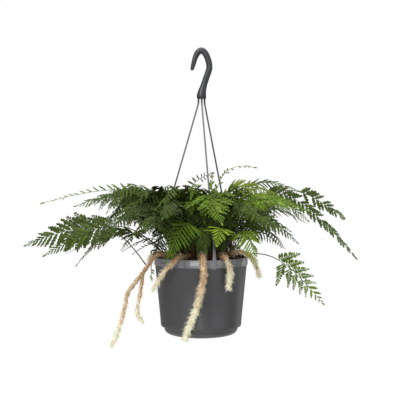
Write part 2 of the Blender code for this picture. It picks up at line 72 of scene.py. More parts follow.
@dataclass(frozen=True)
class Division:
    """How finely a blade is cut.

    Args:
        longest: length of a pinna's longest leaflets, as a share of its own.
        wide: half width of a leaflet, as a share of the gap to the next.
        slim: a leaflet's greatest half width, as a share of its length.
        close: distance between pinnae as a share of the half width.
        apart: distance added to that, in millimetres.
        least: shortest divided pinna, in millimetres; shorter ones are single leaflets.
        single: half width of a single leaflet, as a share of its length.
        second: share of the leaflets on the blade's lower side that are there.
        kept: share of all the leaflets that are there.
        taper: how fast the blade narrows: 1 for a straight triangle, less for a fuller one.
    """

    longest: float
    wide: float
    slim: float
    close: float
    apart: float
    least: float
    single: float
    second: float = 1.0
    kept: float = 1.0
    taper: float = 0.9


class Form(Enum):
    """How a frond is divided, from fine combs and close or open lances to a few plain leaves.

    FULL is no frond's own form: it is the cut of the pinnae that all but the open fronds share.
    """

    FULL = Division(0.24, 0.85, 0.34, 0.14, 3.4, 9.0, 0.2)
    OPEN = Division(0.25, 0.48, 0.3, 0.16, 4.6, 17.0, 0.17)
    LANCE = Division(0.22, 0.85, 0.45, 0.1, 3.4, 34.0, 0.14)
    FINE = Division(0.22, 0.85, 0.45, 0.085, 3.0, 15.0, 0.13)
    DENSE = Division(0.22, 0.85, 0.45, 0.05, 2.8, 99.0, 0.085)
    SPACED = Division(0.26, 0.95, 0.5, 0.16, 3.6, 99.0, 0.2, 1.0, 0.88, 0.55)
    TUFT = Division(0.3, 0.9, 0.5, 0.1, 2.2, 999.0, 0.24, 1.0, 0.6)
    SPARSE = Division(0.2, 0.5, 0.4, 0.2, 3.0, 999.0, 0.24, 0.7, 0.55)
    SIMPLE = Division(0.2, 0.5, 0.4, 0.1, 3.6, 999.0, 0.16, 0.2)
    WISPY = Division(0.2, 0.5, 0.4, 0.24, 5.0, 999.0, 0.11, 0.2)


class Arm(Enum):
    """The hanger's arms: where each leans to, and where its plug sits in the hub, in degrees."""

    FRONT = (-74.6, -86.0)
    RIGHT = (45.4, 16.6)
    LEFT = (165.4, 165.4)

    @property
    def lean(self) -> float:
        """The direction that the arm leans to."""
        return self.value[0]

    @property
    def plug(self) -> float:
        """Where its plug sits round the hub."""
        return self.value[1]


class Leaf(Enum):
    """The greens that a frond may have; each is a slot of the record."""

    DARK = "frond_dark"
    BRIGHT = "frond_bright"
    OLIVE = "frond_olive"


# ------------ curves

class Spine:
    """A curve in space with an across and an up direction carried along it.

    UPRIGHT_BELOW is the sine of the tilt under which the curve's start counts as upright.

    Args:
        points: places along the curve, in metres, one row each.
        across: the direction that stays sideways, or None to carry one along without twist.
        roll: turn of the across direction about the curve, in degrees.
    """

    UPRIGHT_BELOW = 0.1

    def __init__(self, points: Array, across: Vector | None = None, roll: float = 0.0) -> None:
        """Measures the curve and carries its directions along it."""
        self.points = points
        steps = np.linalg.norm(np.diff(points, axis=0), axis=1)
        self.reach = np.concatenate([[0.0], np.cumsum(steps)])
        along = np.gradient(points, axis=0)
        self.along = along / np.linalg.norm(along, axis=1, keepdims=True)
        if across is None:
            side = self._carried()
        else:
            side = np.tile(np.array(across, float), (len(points), 1))
            side -= self.along * np.sum(side * self.along, axis=1, keepdims=True)
            side /= np.linalg.norm(side, axis=1, keepdims=True)
        up = np.cross(side, self.along)
        turn = math.radians(roll)
        self.across = side * math.cos(turn) - up * math.sin(turn)
        self.up = np.cross(self.along, self.across)

    @property
    def length(self) -> float:
        """Length along the curve, in metres."""
        return float(self.reach[-1])

    def _carried(self) -> Array:
        """Carries an across direction along the curve without twist.

        Returns:
            The direction at each point, one row each.
        """
        first = Vector(self.along[0]).cross(Vector((0.0, 0.0, 1.0)))
        if first.length < self.UPRIGHT_BELOW:
            first = Vector(self.along[0]).cross(Vector((0.0, 1.0, 0.0)))
        side = np.array(first.normalized())
        found = []
        for along in self.along:
            side = side - along * np.dot(side, along)
            side = side / np.linalg.norm(side)
            found.append(side)
        return np.array(found)

    def at(self, rows: Array, distance: Array) -> Array:
        """Rows interpolated at these distances along the curve."""
        return np.stack([np.interp(distance, self.reach, rows[:, k]) for k in range(3)], axis=1)

    def carry(self, local: Array) -> Array:
        """Takes points from the straight frame to the curve.

        Args:
            local: (distance along, across, up) of each point, in metres.

        Returns:
            The points in space.
        """
        inside = np.clip(local[:, 0], 0.0, self.length)
        along = self.at(self.along, inside)
        across = self.at(self.across, inside)
        up = self.at(self.up, inside)
        past = (local[:, 0] - inside)[:, None]
        return (
            self.at(self.points, inside)
            + along * past
            + across * local[:, 1:2]
            + up * local[:, 2:3]
        )


def arch(root: Vector, knee: Vector, tip: Vector, weight: float, count: int) -> Array:
    """Points on an arch that leaves the root towards the knee and reaches the tip from it.

    Args:
        root: where it starts.
        knee: the point that it bends towards.
        tip: where it ends.
        weight: how strongly the knee draws it.
        count: how many points.

    Returns:
        The points, one row each.
    """
    t = np.linspace(0.0, 1.0, count)[:, None]
    first, middle, last = (1 - t) ** 2, 2 * weight * t * (1 - t), t * t
    total = first + middle + last
    return (np.array(root) * first + np.array(knee) * middle + np.array(tip) * last) / total


def smooth_path(points: list[Vector], steps: int) -> Array:
    """Points on a smooth curve through the given ones.

    Args:
        points: the places that it passes through.
        steps: steps between each two of them.

    Returns:
        The curve's points, one row each.
    """
    rows = np.array([tuple(point) for point in points])
    ends = np.vstack([2 * rows[0] - rows[1], rows, 2 * rows[-1] - rows[-2]])
    path = []
    t = (np.arange(steps) / steps)[:, None]
    for a, b, c, d in zip(ends, ends[1:], ends[2:], ends[3:]):
        bend = (2 * a - 5 * b + 4 * c - d) * t * t + (3 * b - a - 3 * c + d) * t ** 3
        path.append(0.5 * (2 * b + (c - a) * t + bend))
    return np.vstack([*path, rows[-1:]])


# ------------ mesh helpers

def positions(mesh: Mesh) -> Array:
    """Reads the mesh's points.

    Args:
        mesh: the mesh.

    Returns:
        The points, one row each.
    """
    flat = np.empty(len(mesh.vertices) * 3, np.float32)
    mesh.vertices.foreach_get("co", flat)
    return flat.reshape(-1, 3).astype(float)


def place(mesh: Mesh, points: Array) -> None:
    """Moves the mesh's points to these rows."""
    mesh.vertices.foreach_set("co", points.astype(np.float32).ravel())
    mesh.update()


def read_values(mesh: Mesh, name: str) -> Array:
    """Reads the value stored at each point of the mesh.

    Args:
        mesh: the mesh.
        name: which value.

    Returns:
        The values, or zeros where the mesh has none of that name.
    """
    found = np.zeros(len(mesh.vertices), np.float32)
    attribute = mesh.attributes.get(name)
    if attribute is not None:
        attribute.data.foreach_get("value", found)
    return found


def write_values(mesh: Mesh, name: str, values: Array) -> None:
    """Stores a value at each point of the mesh, for its material to read."""
    attribute = mesh.attributes.get(name) or mesh.attributes.new(name, "FLOAT", "POINT")
    attribute.data.foreach_set("value", np.asarray(values, np.float32))


def mesh_from(bm: bmesh.types.BMesh, name: str) -> Mesh:
    """Writes a bmesh to a new mesh and frees it.

    Args:
        bm: the bmesh.
        name: the new mesh's name.

    Returns:
        The mesh.
    """
    mesh = bpy.data.meshes.new(name)
    bm.to_mesh(mesh)
    bm.free()
    return mesh


def unit_rod(sides: int, steps: int, name: str = "rod") -> Mesh:
    """A closed rod from x = 0 to x = 1, of radius 1, cut into even steps.

    Args:
        sides: corners of its section; the first lies at +y.
        steps: lengths that it is cut into.
        name: the mesh's name.

    Returns:
        The mesh, facing out.
    """
    bm = bmesh.new()
    bmesh.ops.create_cone(
        bm, cap_ends=True, cap_tris=False, segments=sides, radius1=1.0, radius2=1.0, depth=1.0,
    )
    upright = [edge for edge in bm.edges if abs(edge.verts[0].co.z - edge.verts[1].co.z) > 0.5]
    bmesh.ops.subdivide_edges(bm, edges=upright, cuts=steps - 1, use_grid_fill=False)
    to_x = Matrix.Rotation(math.pi / 2, 4, "Y")
    bmesh.ops.transform(bm, matrix=Matrix.Translation((0.5, 0, 0)) @ to_x, verts=bm.verts)
    bmesh.ops.recalc_face_normals(bm, faces=bm.faces)
    return mesh_from(bm, name)


def swept(
    name: str,
    spine: Spine,
    across: Array,
    up: Array,
    sides: int,
    squareness: float = 2.0,
) -> Mesh:
    """A closed rod along a curve, with its own half width and half depth at each even step.

    Args:
        name: the mesh's name.
        spine: the curve that it follows.
        across: half width at each step, in metres.
        up: half depth at each step, in metres.
        sides: corners of its section.
        squareness: 2 for an ellipse, more for a squarer section.

    Returns:
        The mesh.
    """
    mesh = unit_rod(sides, len(across) - 1, name)
    local = positions(mesh)
    share = local[:, 0].copy()
    angle = np.arctan2(local[:, 2], local[:, 1])
    powers = np.abs(np.cos(angle)) ** squareness + np.abs(np.sin(angle)) ** squareness
    size = powers ** (-1 / squareness)
    even = np.linspace(0.0, 1.0, len(across))
    local[:, 0] = share * spine.length
    local[:, 1] = np.cos(angle) * size * np.interp(share, even, across)
    local[:, 2] = np.sin(angle) * size * np.interp(share, even, up)
    place(mesh, spine.carry(local))
    write_values(mesh, "along", share)
    return mesh


def repeated(
    name: str,
    template: Mesh,
    places: Array,
    shades: Array | None = None,
    along: Array | None = None,
) -> Mesh:
    """Copies of a small mesh, one for each placing, as one mesh.

    Args:
        name: the new mesh's name.
        template: the mesh that is copied.
        places: a stack of 4 x 4 matrices.
        shades: a value added to each copy's shade.
        along: a value that each copy has for its place along the whole.

    Returns:
        The mesh of all the copies, with the template's materials by index.
    """
    points = positions(template)
    count, copies = len(points), len(places)
    moved = np.einsum("nij,vj->nvi", places[:, :3, :3], points) + places[:, None, :3, 3]
    faces = [tuple(face.vertices) for face in template.polygons]
    stacked = []
    for copy in range(copies):
        base = copy * count
        stacked.extend(tuple(corner + base for corner in face) for face in faces)
    mesh = bpy.data.meshes.new(name)
    mesh.from_pydata(moved.reshape(-1, 3).tolist(), [], stacked)
    kinds = np.array([face.material_index for face in template.polygons], np.int32)
    mesh.polygons.foreach_set("material_index", np.tile(kinds, copies))
    shade = np.tile(read_values(template, "shade"), copies)
    if shades is not None:
        shade = shade + np.repeat(shades, count)
    write_values(mesh, "shade", shade)
    write_values(mesh, "ridge", np.tile(read_values(template, "ridge"), copies))
    if along is not None:
        write_values(mesh, "along", np.repeat(along, count))
    return mesh


def joined(name: str, meshes: list[Mesh]) -> Mesh:
    """Makes several meshes one, with their values and material indices, and removes them.

    Args:
        name: the new mesh's name.
        meshes: the meshes that it takes up.

    Returns:
        The one mesh.
    """
    bm = bmesh.new()
    for mesh in meshes:
        bm.from_mesh(mesh)
        bpy.data.meshes.remove(mesh)
    return mesh_from(bm, name)


def face_outward(mesh: Mesh) -> None:
    """Turns over any closed part of the mesh that a tight bend has left inside out.

    Args:
        mesh: a mesh of many closed parts.
    """
    points = positions(mesh)
    mesh.calc_loop_triangles()
    corners = np.empty(len(mesh.loop_triangles) * 3, np.int32)
    mesh.loop_triangles.foreach_get("vertices", corners)
    corners = corners.reshape(-1, 3)
    part, before = np.arange(len(points)), None
    while before is None or (part != before).any():
        before, lowest = part, part[corners].min(axis=1)
        part = part.copy()
        for column in corners.T:
            np.minimum.at(part, column, lowest)
        part = part[part]
    owner = part[corners[:, 0]]
    a, b, c = (points[column] - points[owner] for column in corners.T)
    volume = np.bincount(owner, np.sum(a * np.cross(b, c), axis=1), len(points))
    if (volume < 0).any():
        for face in mesh.polygons:
            if volume[part[face.vertices[0]]] < 0:
                face.flip()
        mesh.update()


def turned(profile: list[Pair], steps: int) -> bmesh.types.BMesh:
    """Turns a line of (radius, z) points round the upright axis and closes it at the axis.

    Args:
        profile: points in millimetres; a closed ring repeats its first point at the end.
        steps: sides of the turned shape.

    Returns:
        The closed bmesh, in metres, facing out.
    """
    bm = bmesh.new()
    ring = profile[0] == profile[-1]
    points = profile[:-1] if ring else profile
    corners = [bm.verts.new((radius * MM, 0.0, z * MM)) for radius, z in points]
    edges = [bm.edges.new(pair) for pair in zip(corners, corners[1:])]
    if ring:
        edges.append(bm.edges.new((corners[-1], corners[0])))
    bmesh.ops.spin(
        bm, geom=corners + edges, cent=(0, 0, 0), axis=(0, 0, 1), angle=math.tau,
        steps=steps, use_merge=True,
    )
    bmesh.ops.remove_doubles(bm, verts=bm.verts, dist=1e-6)
    open_edges = [edge for edge in bm.edges if edge.is_boundary]
    if open_edges:
        bmesh.ops.holes_fill(bm, edges=open_edges, sides=0)
    bmesh.ops.recalc_face_normals(bm, faces=bm.faces)
    return bm


def block(size: Vector, centre: Vector, turn: float) -> bmesh.types.BMesh:
    """A box that is moved to its place and then turned about the upright axis.

    Args:
        size: its sides, in millimetres.
        centre: where its middle goes before the turn, in millimetres.
        turn: the turn, in degrees.

    Returns:
        The box, in metres.
    """
    bm = bmesh.new()
    bmesh.ops.create_cube(bm, size=1.0)
    bmesh.ops.scale(bm, vec=size * MM, verts=bm.verts)
    bmesh.ops.translate(bm, vec=centre * MM, verts=bm.verts)
    turning = Matrix.Rotation(math.radians(turn), 3, "Z")
    bmesh.ops.rotate(bm, cent=(0, 0, 0), matrix=turning, verts=bm.verts)
    return bm


def upright_rod(radius: float, centre: Vector, height: float) -> bmesh.types.BMesh:
    """An upright round rod.

    Args:
        radius: its radius, in millimetres.
        centre: the middle of its length, in millimetres.
        height: its length, in millimetres.

    Returns:
        The rod, in metres.
    """
    bm = bmesh.new()
    bmesh.ops.create_cone(
        bm, cap_ends=True, segments=24, radius1=radius * MM, radius2=radius * MM, depth=height * MM,
    )
    bmesh.ops.translate(bm, vec=centre * MM, verts=bm.verts)
    return bm


def carved(mesh: Mesh, cutters: list[bmesh.types.BMesh]) -> Mesh:
    """Takes each cutter's volume out of a mesh.

    Args:
        mesh: the mesh, which is used up.
        cutters: the closed shapes that are taken out, which are used up too.

    Returns:
        What is left, as a new mesh.
    """
    body = bpy.data.objects.new("carving", mesh)
    bpy.context.scene.collection.objects.link(body)
    helpers = []
    for cutter in cutters:
        helper = bpy.data.objects.new("cutter", mesh_from(cutter, "cutter"))
        bpy.context.scene.collection.objects.link(helper)
        step = body.modifiers.new("cut", "BOOLEAN")
        step.operation = "DIFFERENCE"
        step.solver = "EXACT"
        step.object = helper
        helpers.append(helper)
    graph = bpy.context.evaluated_depsgraph_get()
    result = bpy.data.meshes.new_from_object(body.evaluated_get(graph))
    for thing in [body, *helpers]:
        old = thing.data
        bpy.data.objects.remove(thing, do_unlink=True)
        bpy.data.meshes.remove(old)
    return result


def add_piece(
    name: str,
    mesh: Mesh,
    finishes: list[Material],
    nodes: tuple[str, ...] = (),
    sharp: float = 40.0,
) -> bpy.types.Object:
    """Links a finished mesh as a piece that rides with the part.

    Args:
        name: the piece's name.
        mesh: its mesh, already in place.
        finishes: its materials, in the order of the mesh's indices.
        nodes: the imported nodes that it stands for.
        sharp: fold, in degrees, past which an edge is shaded sharp.

    Returns:
        The piece.
    """
    mesh.name = name
    mesh.shade_smooth()
    mesh.set_sharp_from_angle(angle=math.radians(sharp))
    for finish in finishes:
        mesh.materials.append(finish)
    piece = bpy.data.objects.new(name, mesh)
    bpy.context.scene.collection.objects.link(piece)
    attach(piece, BODY)
    if nodes:
        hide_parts(*nodes)
    log.info("%s: %d faces", name, len(mesh.polygons))
    return piece


# ------------ finishes

Colour = tuple[float, float, float]
Stop = tuple[float, Colour]
Term = tuple[Socket, float]


class Nodes:
    """A material's node tree, with the few steps that the finishes share."""

    def __init__(self, name: str) -> None:
        """Starts a material of this name with its usual shader."""
        self.material = bpy.data.materials.new(name)
        self.material.use_nodes = True
        self.tree = self.material.node_tree
        self.shader = self.tree.nodes["Principled BSDF"]

    def add(self, kind: str, **settings: object) -> bpy.types.Node:
        """Adds a node.

        Args:
            kind: the node's type.
            **settings: its properties by name.

        Returns:
            The node.
        """
        node = self.tree.nodes.new(kind)
        for key, value in settings.items():
            setattr(node, key, value)
        return node

    def link(self, start: Socket, end: Socket) -> None:
        """Joins an output to an input."""
        self.tree.links.new(start, end)

    def value(self, name: str) -> Socket:
        """The output of a point attribute's value."""
        return self.add("ShaderNodeAttribute", attribute_name=name).outputs["Fac"]

    def place(self, scale: Triple) -> Socket:
        """The object's own coordinates.

        Args:
            scale: what they are multiplied by, axis by axis.

        Returns:
            The coordinates' socket.
        """
        coordinates = self.add("ShaderNodeTexCoord")
        mapping = self.add("ShaderNodeMapping")
        mapping.inputs["Scale"].default_value = scale
        self.link(coordinates.outputs["Object"], mapping.inputs["Vector"])
        return mapping.outputs["Vector"]

    def noise(self, scale: float, detail: float = 3.0, stretch: Triple = (1.0, 1.0, 1.0)) -> Socket:
        """Noise over the object's own coordinates.

        Args:
            scale: cells to a metre.
            detail: how many finer layers it has.
            stretch: what the coordinates are multiplied by; less than 1 draws the cells out.

        Returns:
            The noise's socket, from 0 to 1.
        """
        node = self.add("ShaderNodeTexNoise")
        node.inputs["Scale"].default_value = scale
        node.inputs["Detail"].default_value = detail
        self.link(self.place(stretch), node.inputs["Vector"])
        return node.outputs["Fac"]

    def sum(self, terms: list[Term], start: float) -> Socket:
        """A start value plus each socket times its weight.

        Args:
            terms: the sockets, each with its weight.
            start: the value that they are added to.

        Returns:
            The total's socket.
        """
        total = None
        for socket, weight in terms:
            step = self.add("ShaderNodeMath", operation="MULTIPLY_ADD")
            step.inputs[1].default_value = weight
            self.link(socket, step.inputs[0])
            if total is None:
                step.inputs[2].default_value = start
            else:
                self.link(total, step.inputs[2])
            total = step.outputs[0]
        return total

    def ramp(self, factor: Socket, stops: list[Stop]) -> Socket:
        """A colour read from stops along a factor.

        Args:
            factor: the factor's socket.
            stops: each colour with the factor that it stands at.

        Returns:
            The colour's socket.
        """
        node = self.add("ShaderNodeValToRGB")
        elements = node.color_ramp.elements
        while len(elements) < len(stops):
            elements.new(0.5)
        for element, (at, colour) in zip(elements, stops):
            element.position = at
            element.color = (*colour, 1.0)
        self.link(factor, node.inputs["Fac"])
        return node.outputs["Color"]

    def bump(self, height: Socket, strength: float, distance: float) -> None:
        """Raises the surface's shading by a height.

        Args:
            height: the height's socket.
            strength: how far the shading follows it, from 0 to 1.
            distance: the height that a value of 1 stands for, in metres.
        """
        node = self.add("ShaderNodeBump")
        node.inputs["Strength"].default_value = strength
        node.inputs["Distance"].default_value = distance
        self.link(height, node.inputs["Height"])
        self.link(node.outputs["Normal"], self.shader.inputs["Normal"])

    def span(self, factor: Socket, low: float, high: float) -> Socket:
        """A factor from 0 to 1 mapped to a span.

        Args:
            factor: the factor's socket.
            low: the value at 0.
            high: the value at 1.

        Returns:
            The value's socket.
        """
        node = self.add("ShaderNodeMapRange")
        node.inputs["To Min"].default_value = low
        node.inputs["To Max"].default_value = high
        self.link(factor, node.inputs["Value"])
        return node.outputs["Result"]


# A finish's cells are its patches, streaks or grains to a metre, its shine is the strength of its
# gloss, and each of its terms has the weight that moves it along its stops of colour.

@dataclass(frozen=True)
class LeafFinish:
    """A leathery leaf, darker or lighter by leaflet, with a paler ridge along each midrib."""

    name: str
    dark: Colour
    middle: Colour
    light: Colour
    roughness: float = 0.5
    shine: float = 0.08
    mottle_cells: float = 60.0
    gloss_cells: float = 400.0
    grain_cells: float = 900.0

    def build(self) -> Material:
        """Makes the material.

        Returns:
            The material.
        """
        nodes = Nodes(self.name)
        mottle = nodes.noise(self.mottle_cells)
        terms = [
            (nodes.value("shade"), 0.5), (mottle, 0.45),
            (nodes.value("ridge"), 0.12), (nodes.value("along"), 0.18),
        ]
        factor = nodes.sum(terms, -0.1)
        stops = [(0.0, self.dark), (0.5, self.middle), (1.0, self.light)]
        nodes.link(nodes.ramp(factor, stops), nodes.shader.inputs["Base Color"])
        gloss = nodes.noise(self.gloss_cells)
        rough = nodes.span(gloss, self.roughness - 0.1, self.roughness + 0.12)
        nodes.link(rough, nodes.shader.inputs["Roughness"])
        nodes.bump(nodes.noise(self.grain_cells, 2.0), 0.25, 0.4 * MM)
        nodes.shader.inputs["Specular IOR Level"].default_value = self.shine
        return nodes.material


@dataclass(frozen=True)
class StalkFinish:
    """A thin stalk, brown at its foot and green towards the leaf's tip."""

    name: str
    foot: Colour
    middle: Colour
    top: Colour
    roughness: float = 0.5
    shine: float = 0.12
    streak_cells: float = 150.0

    def build(self) -> Material:
        """Makes the material.

        Returns:
            The material.
        """
        nodes = Nodes(self.name)
        terms = [(nodes.value("along"), 1.0), (nodes.noise(self.streak_cells), 0.25)]
        factor = nodes.sum(terms, -0.12)
        stops = [(0.05, self.foot), (0.4, self.middle), (0.8, self.top)]
        nodes.link(nodes.ramp(factor, stops), nodes.shader.inputs["Base Color"])
        nodes.shader.inputs["Roughness"].default_value = self.roughness
        nodes.shader.inputs["Specular IOR Level"].default_value = self.shine
        return nodes.material


@dataclass(frozen=True)
class FurFinish:
    """Dense scales on a rhizome: brown where old, tan, then cream with a green cast at the tip. The
    bare core and the scales' feet are darker: partly the rhizome's own brown, partly painted shade
    beneath the scales.
    """

    name: str
    old: Colour
    tan: Colour
    pale: Colour
    tip: Colour
    roughness: float = 0.75
    shine: float = 0.25
    patch_cells: float = 110.0
    fleck_cells: float = 380.0
    grain_cells: float = 1400.0

    def build(self) -> Material:
        """Makes the material.

        Returns:
            The material.
        """
        nodes = Nodes(self.name)
        # Ridge runs from a scale's foot (0) to its tip (1) and the core has none, so the dark stop
        # there is partly painted shade beneath the scales.
        terms = [
            (nodes.value("along"), 0.8), (nodes.value("shade"), 0.25), (nodes.value("ridge"), 0.7),
            (nodes.noise(self.patch_cells), 0.9), (nodes.noise(self.fleck_cells), 1.3),
        ]
        factor = nodes.sum(terms, -1.3)
        stops = [(0.0, self.old), (0.35, self.tan), (0.7, self.pale), (1.0, self.tip)]
        nodes.link(nodes.ramp(factor, stops), nodes.shader.inputs["Base Color"])
        nodes.shader.inputs["Roughness"].default_value = self.roughness
        nodes.shader.inputs["Specular IOR Level"].default_value = self.shine
        nodes.bump(nodes.noise(self.grain_cells, 2.0), 0.4, 0.4 * MM)
        return nodes.material


PLASTIC_GRAIN_CELLS = 2600.0
PLASTIC_GRAIN = 0.08
PLASTIC_GRAIN_HEIGHT = 0.3 * MM


@dataclass(frozen=True)
class PlasticFinish:
    """Moulded plastic with a fine grain and lighter upright streaks: flow marks, and on the rim band
    a painted sheen.
    """

    name: str
    colour: Colour
    # The streaks' colour: a faint flow mark on the wall, saucer and hook, and a painted sheen on the
    # rim band.
    flow_and_sheen: Colour
    roughness: float
    flow_cells: float = 60.0
    shine: float = 0.5
    cloud_cells: float = 18.0
    wear_cells: float = 120.0

    def build(self) -> Material:
        """Makes the material.

        Returns:
            The material.
        """
        nodes = Nodes(self.name)
        streaks = nodes.noise(self.flow_cells, 4.0, (1.0, 1.0, 0.08))
        cloud = nodes.noise(self.cloud_cells, 2.0)
        factor = nodes.sum([(streaks, 0.7), (cloud, 0.5)], -0.1)
        stops = [(0.25, self.colour), (0.75, self.flow_and_sheen)]
        nodes.link(nodes.ramp(factor, stops), nodes.shader.inputs["Base Color"])
        wear = nodes.noise(self.wear_cells, 3.0, (1.0, 1.0, 0.15))
        worn = nodes.span(wear, self.roughness - 0.08, self.roughness + 0.1)
        nodes.link(worn, nodes.shader.inputs["Roughness"])
        nodes.shader.inputs["Specular IOR Level"].default_value = self.shine
        nodes.bump(nodes.noise(PLASTIC_GRAIN_CELLS, 2.0), PLASTIC_GRAIN, PLASTIC_GRAIN_HEIGHT)
        return nodes.material


@dataclass(frozen=True)
class ArmFinish:
    """Thin drawn plastic of one colour, with painted highlights that make it paler near the hub and
    at its clip.
    """

    name: str
    pale: Colour
    dark: Colour
    clip: Colour
    smoothest: float = 0.24
    roughest: float = 0.42
    gloss_cells: float = 500.0
    cloud_cells: float = 260.0

    def build(self) -> Material:
        """Makes the material.

        Returns:
            The material.
        """
        nodes = Nodes(self.name)
        terms = [(nodes.value("along"), 1.0), (nodes.noise(self.cloud_cells), 0.06)]
        factor = nodes.sum(terms, -0.03)
        # The pale stops near the hub and at the clip are painted highlights on plastic that is one
        # colour throughout.
        stops = [
            (0.03, self.dark), (0.05, self.pale), (0.35, self.pale),
            (0.8, self.dark), (0.93, self.clip),
        ]
        nodes.link(nodes.ramp(factor, stops), nodes.shader.inputs["Base Color"])
        gloss = nodes.span(nodes.noise(self.gloss_cells), self.smoothest, self.roughest)
        nodes.link(gloss, nodes.shader.inputs["Roughness"])
        nodes.bump(nodes.noise(PLASTIC_GRAIN_CELLS, 2.0), PLASTIC_GRAIN, PLASTIC_GRAIN_HEIGHT)
        return nodes.material


@dataclass(frozen=True)
class MixFinish:
    """Damp bark, peat and fibre."""

    name: str
    dark: Colour
    brown: Colour
    pale: Colour
    roughness: float = 0.9
    crumb_cells: float = 350.0
    grain_cells: float = 1100.0

    def build(self) -> Material:
        """Makes the material.

        Returns:
            The material.
        """
        nodes = Nodes(self.name)
        terms = [(nodes.value("shade"), 0.6), (nodes.noise(self.crumb_cells, 5.0), 0.7)]
        factor = nodes.sum(terms, -0.2)
        stops = [(0.1, self.dark), (0.6, self.brown), (0.95, self.pale)]
        nodes.link(nodes.ramp(factor, stops), nodes.shader.inputs["Base Color"])
        nodes.shader.inputs["Roughness"].default_value = self.roughness
        nodes.bump(nodes.noise(self.grain_cells, 4.0), 0.6, MM)
        return nodes.material


@dataclass(frozen=True)
class StudioFinish:
    """The plain pale sweep behind and below."""

    name: str
    colour: Colour
    roughness: float = 0.9

    def build(self) -> Material:
        """Makes the material.

        Returns:
            The material.
        """
        nodes = Nodes(self.name)
        nodes.shader.inputs["Base Color"].default_value = (*self.colour, 1.0)
        nodes.shader.inputs["Roughness"].default_value = self.roughness
        return nodes.material


LEAF_FINISHES = {
    Leaf.DARK: LeafFinish(
        "leaf_dark", (0.02, 0.031, 0.006), (0.05, 0.084, 0.012), (0.125, 0.17, 0.032),
    ),
    Leaf.BRIGHT: LeafFinish(
        "leaf_bright", (0.045, 0.082, 0.005), (0.12, 0.2, 0.012), (0.24, 0.345, 0.03),
    ),
    Leaf.OLIVE: LeafFinish(
        "leaf_olive", (0.06, 0.08, 0.006), (0.14, 0.18, 0.012), (0.28, 0.33, 0.03),
    ),
}
STALK_DARK = StalkFinish(
    "stalk_dark", (0.065, 0.033, 0.02), (0.05, 0.04, 0.018), (0.04, 0.07, 0.012),
)
STALK_BRIGHT = StalkFinish(
    "stalk_bright", (0.06, 0.035, 0.018), (0.06, 0.075, 0.016), (0.07, 0.13, 0.015),
)
FUR_WITH_PAINTED_SHADE = FurFinish(
    "rhizome_fur", (0.3, 0.175, 0.08), (0.56, 0.44, 0.28), (0.68, 0.63, 0.5), (0.65, 0.7, 0.52),
)
POT_WALL = PlasticFinish("pot_wall", (0.022, 0.0215, 0.023), (0.034, 0.0332, 0.0355), 0.42)
# The band's light streak colour, far lighter than the wall, is a painted sheen over its own dark
# grey; its gloss is the band's own.
POT_BAND_WITH_PAINTED_SHEEN = PlasticFinish(
    "pot_band", (0.04, 0.04, 0.043), (0.2, 0.2, 0.21), 0.27, flow_cells=160.0, shine=0.7,
)
SAUCER_PLASTIC = PlasticFinish("saucer", (0.031, 0.03, 0.032), (0.045, 0.0435, 0.046), 0.38)
HANGER = PlasticFinish(
    "hanger", (0.007, 0.0077, 0.0084), (0.02, 0.0215, 0.0238), 0.4, flow_cells=90.0, shine=0.35,
)
# The arm's pale and clip colours are painted highlights, not a paler plastic.
ARM_PAINTED_HIGHLIGHTS = ArmFinish("arm", (0.075, 0.075, 0.079), (0.02, 0.021, 0.023), (0.12, 0.122, 0.13))
FIBRE = StalkFinish("fibre", (0.09, 0.04, 0.018), (0.17, 0.085, 0.04), (0.3, 0.19, 0.1))
MIX = MixFinish("potting_mix", (0.008, 0.005, 0.003), (0.045, 0.025, 0.013), (0.16, 0.1, 0.055))


# ------------ pot and saucer

def height(node: str, end: int) -> float:
    """Lowest (0) or highest (1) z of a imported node, in millimetres."""
    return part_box(node)[end].z / MM


def radius_of(node: str) -> float:
    """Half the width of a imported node, in millimetres."""
    low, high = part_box(node)
    return (high.x - low.x) / 2 / MM


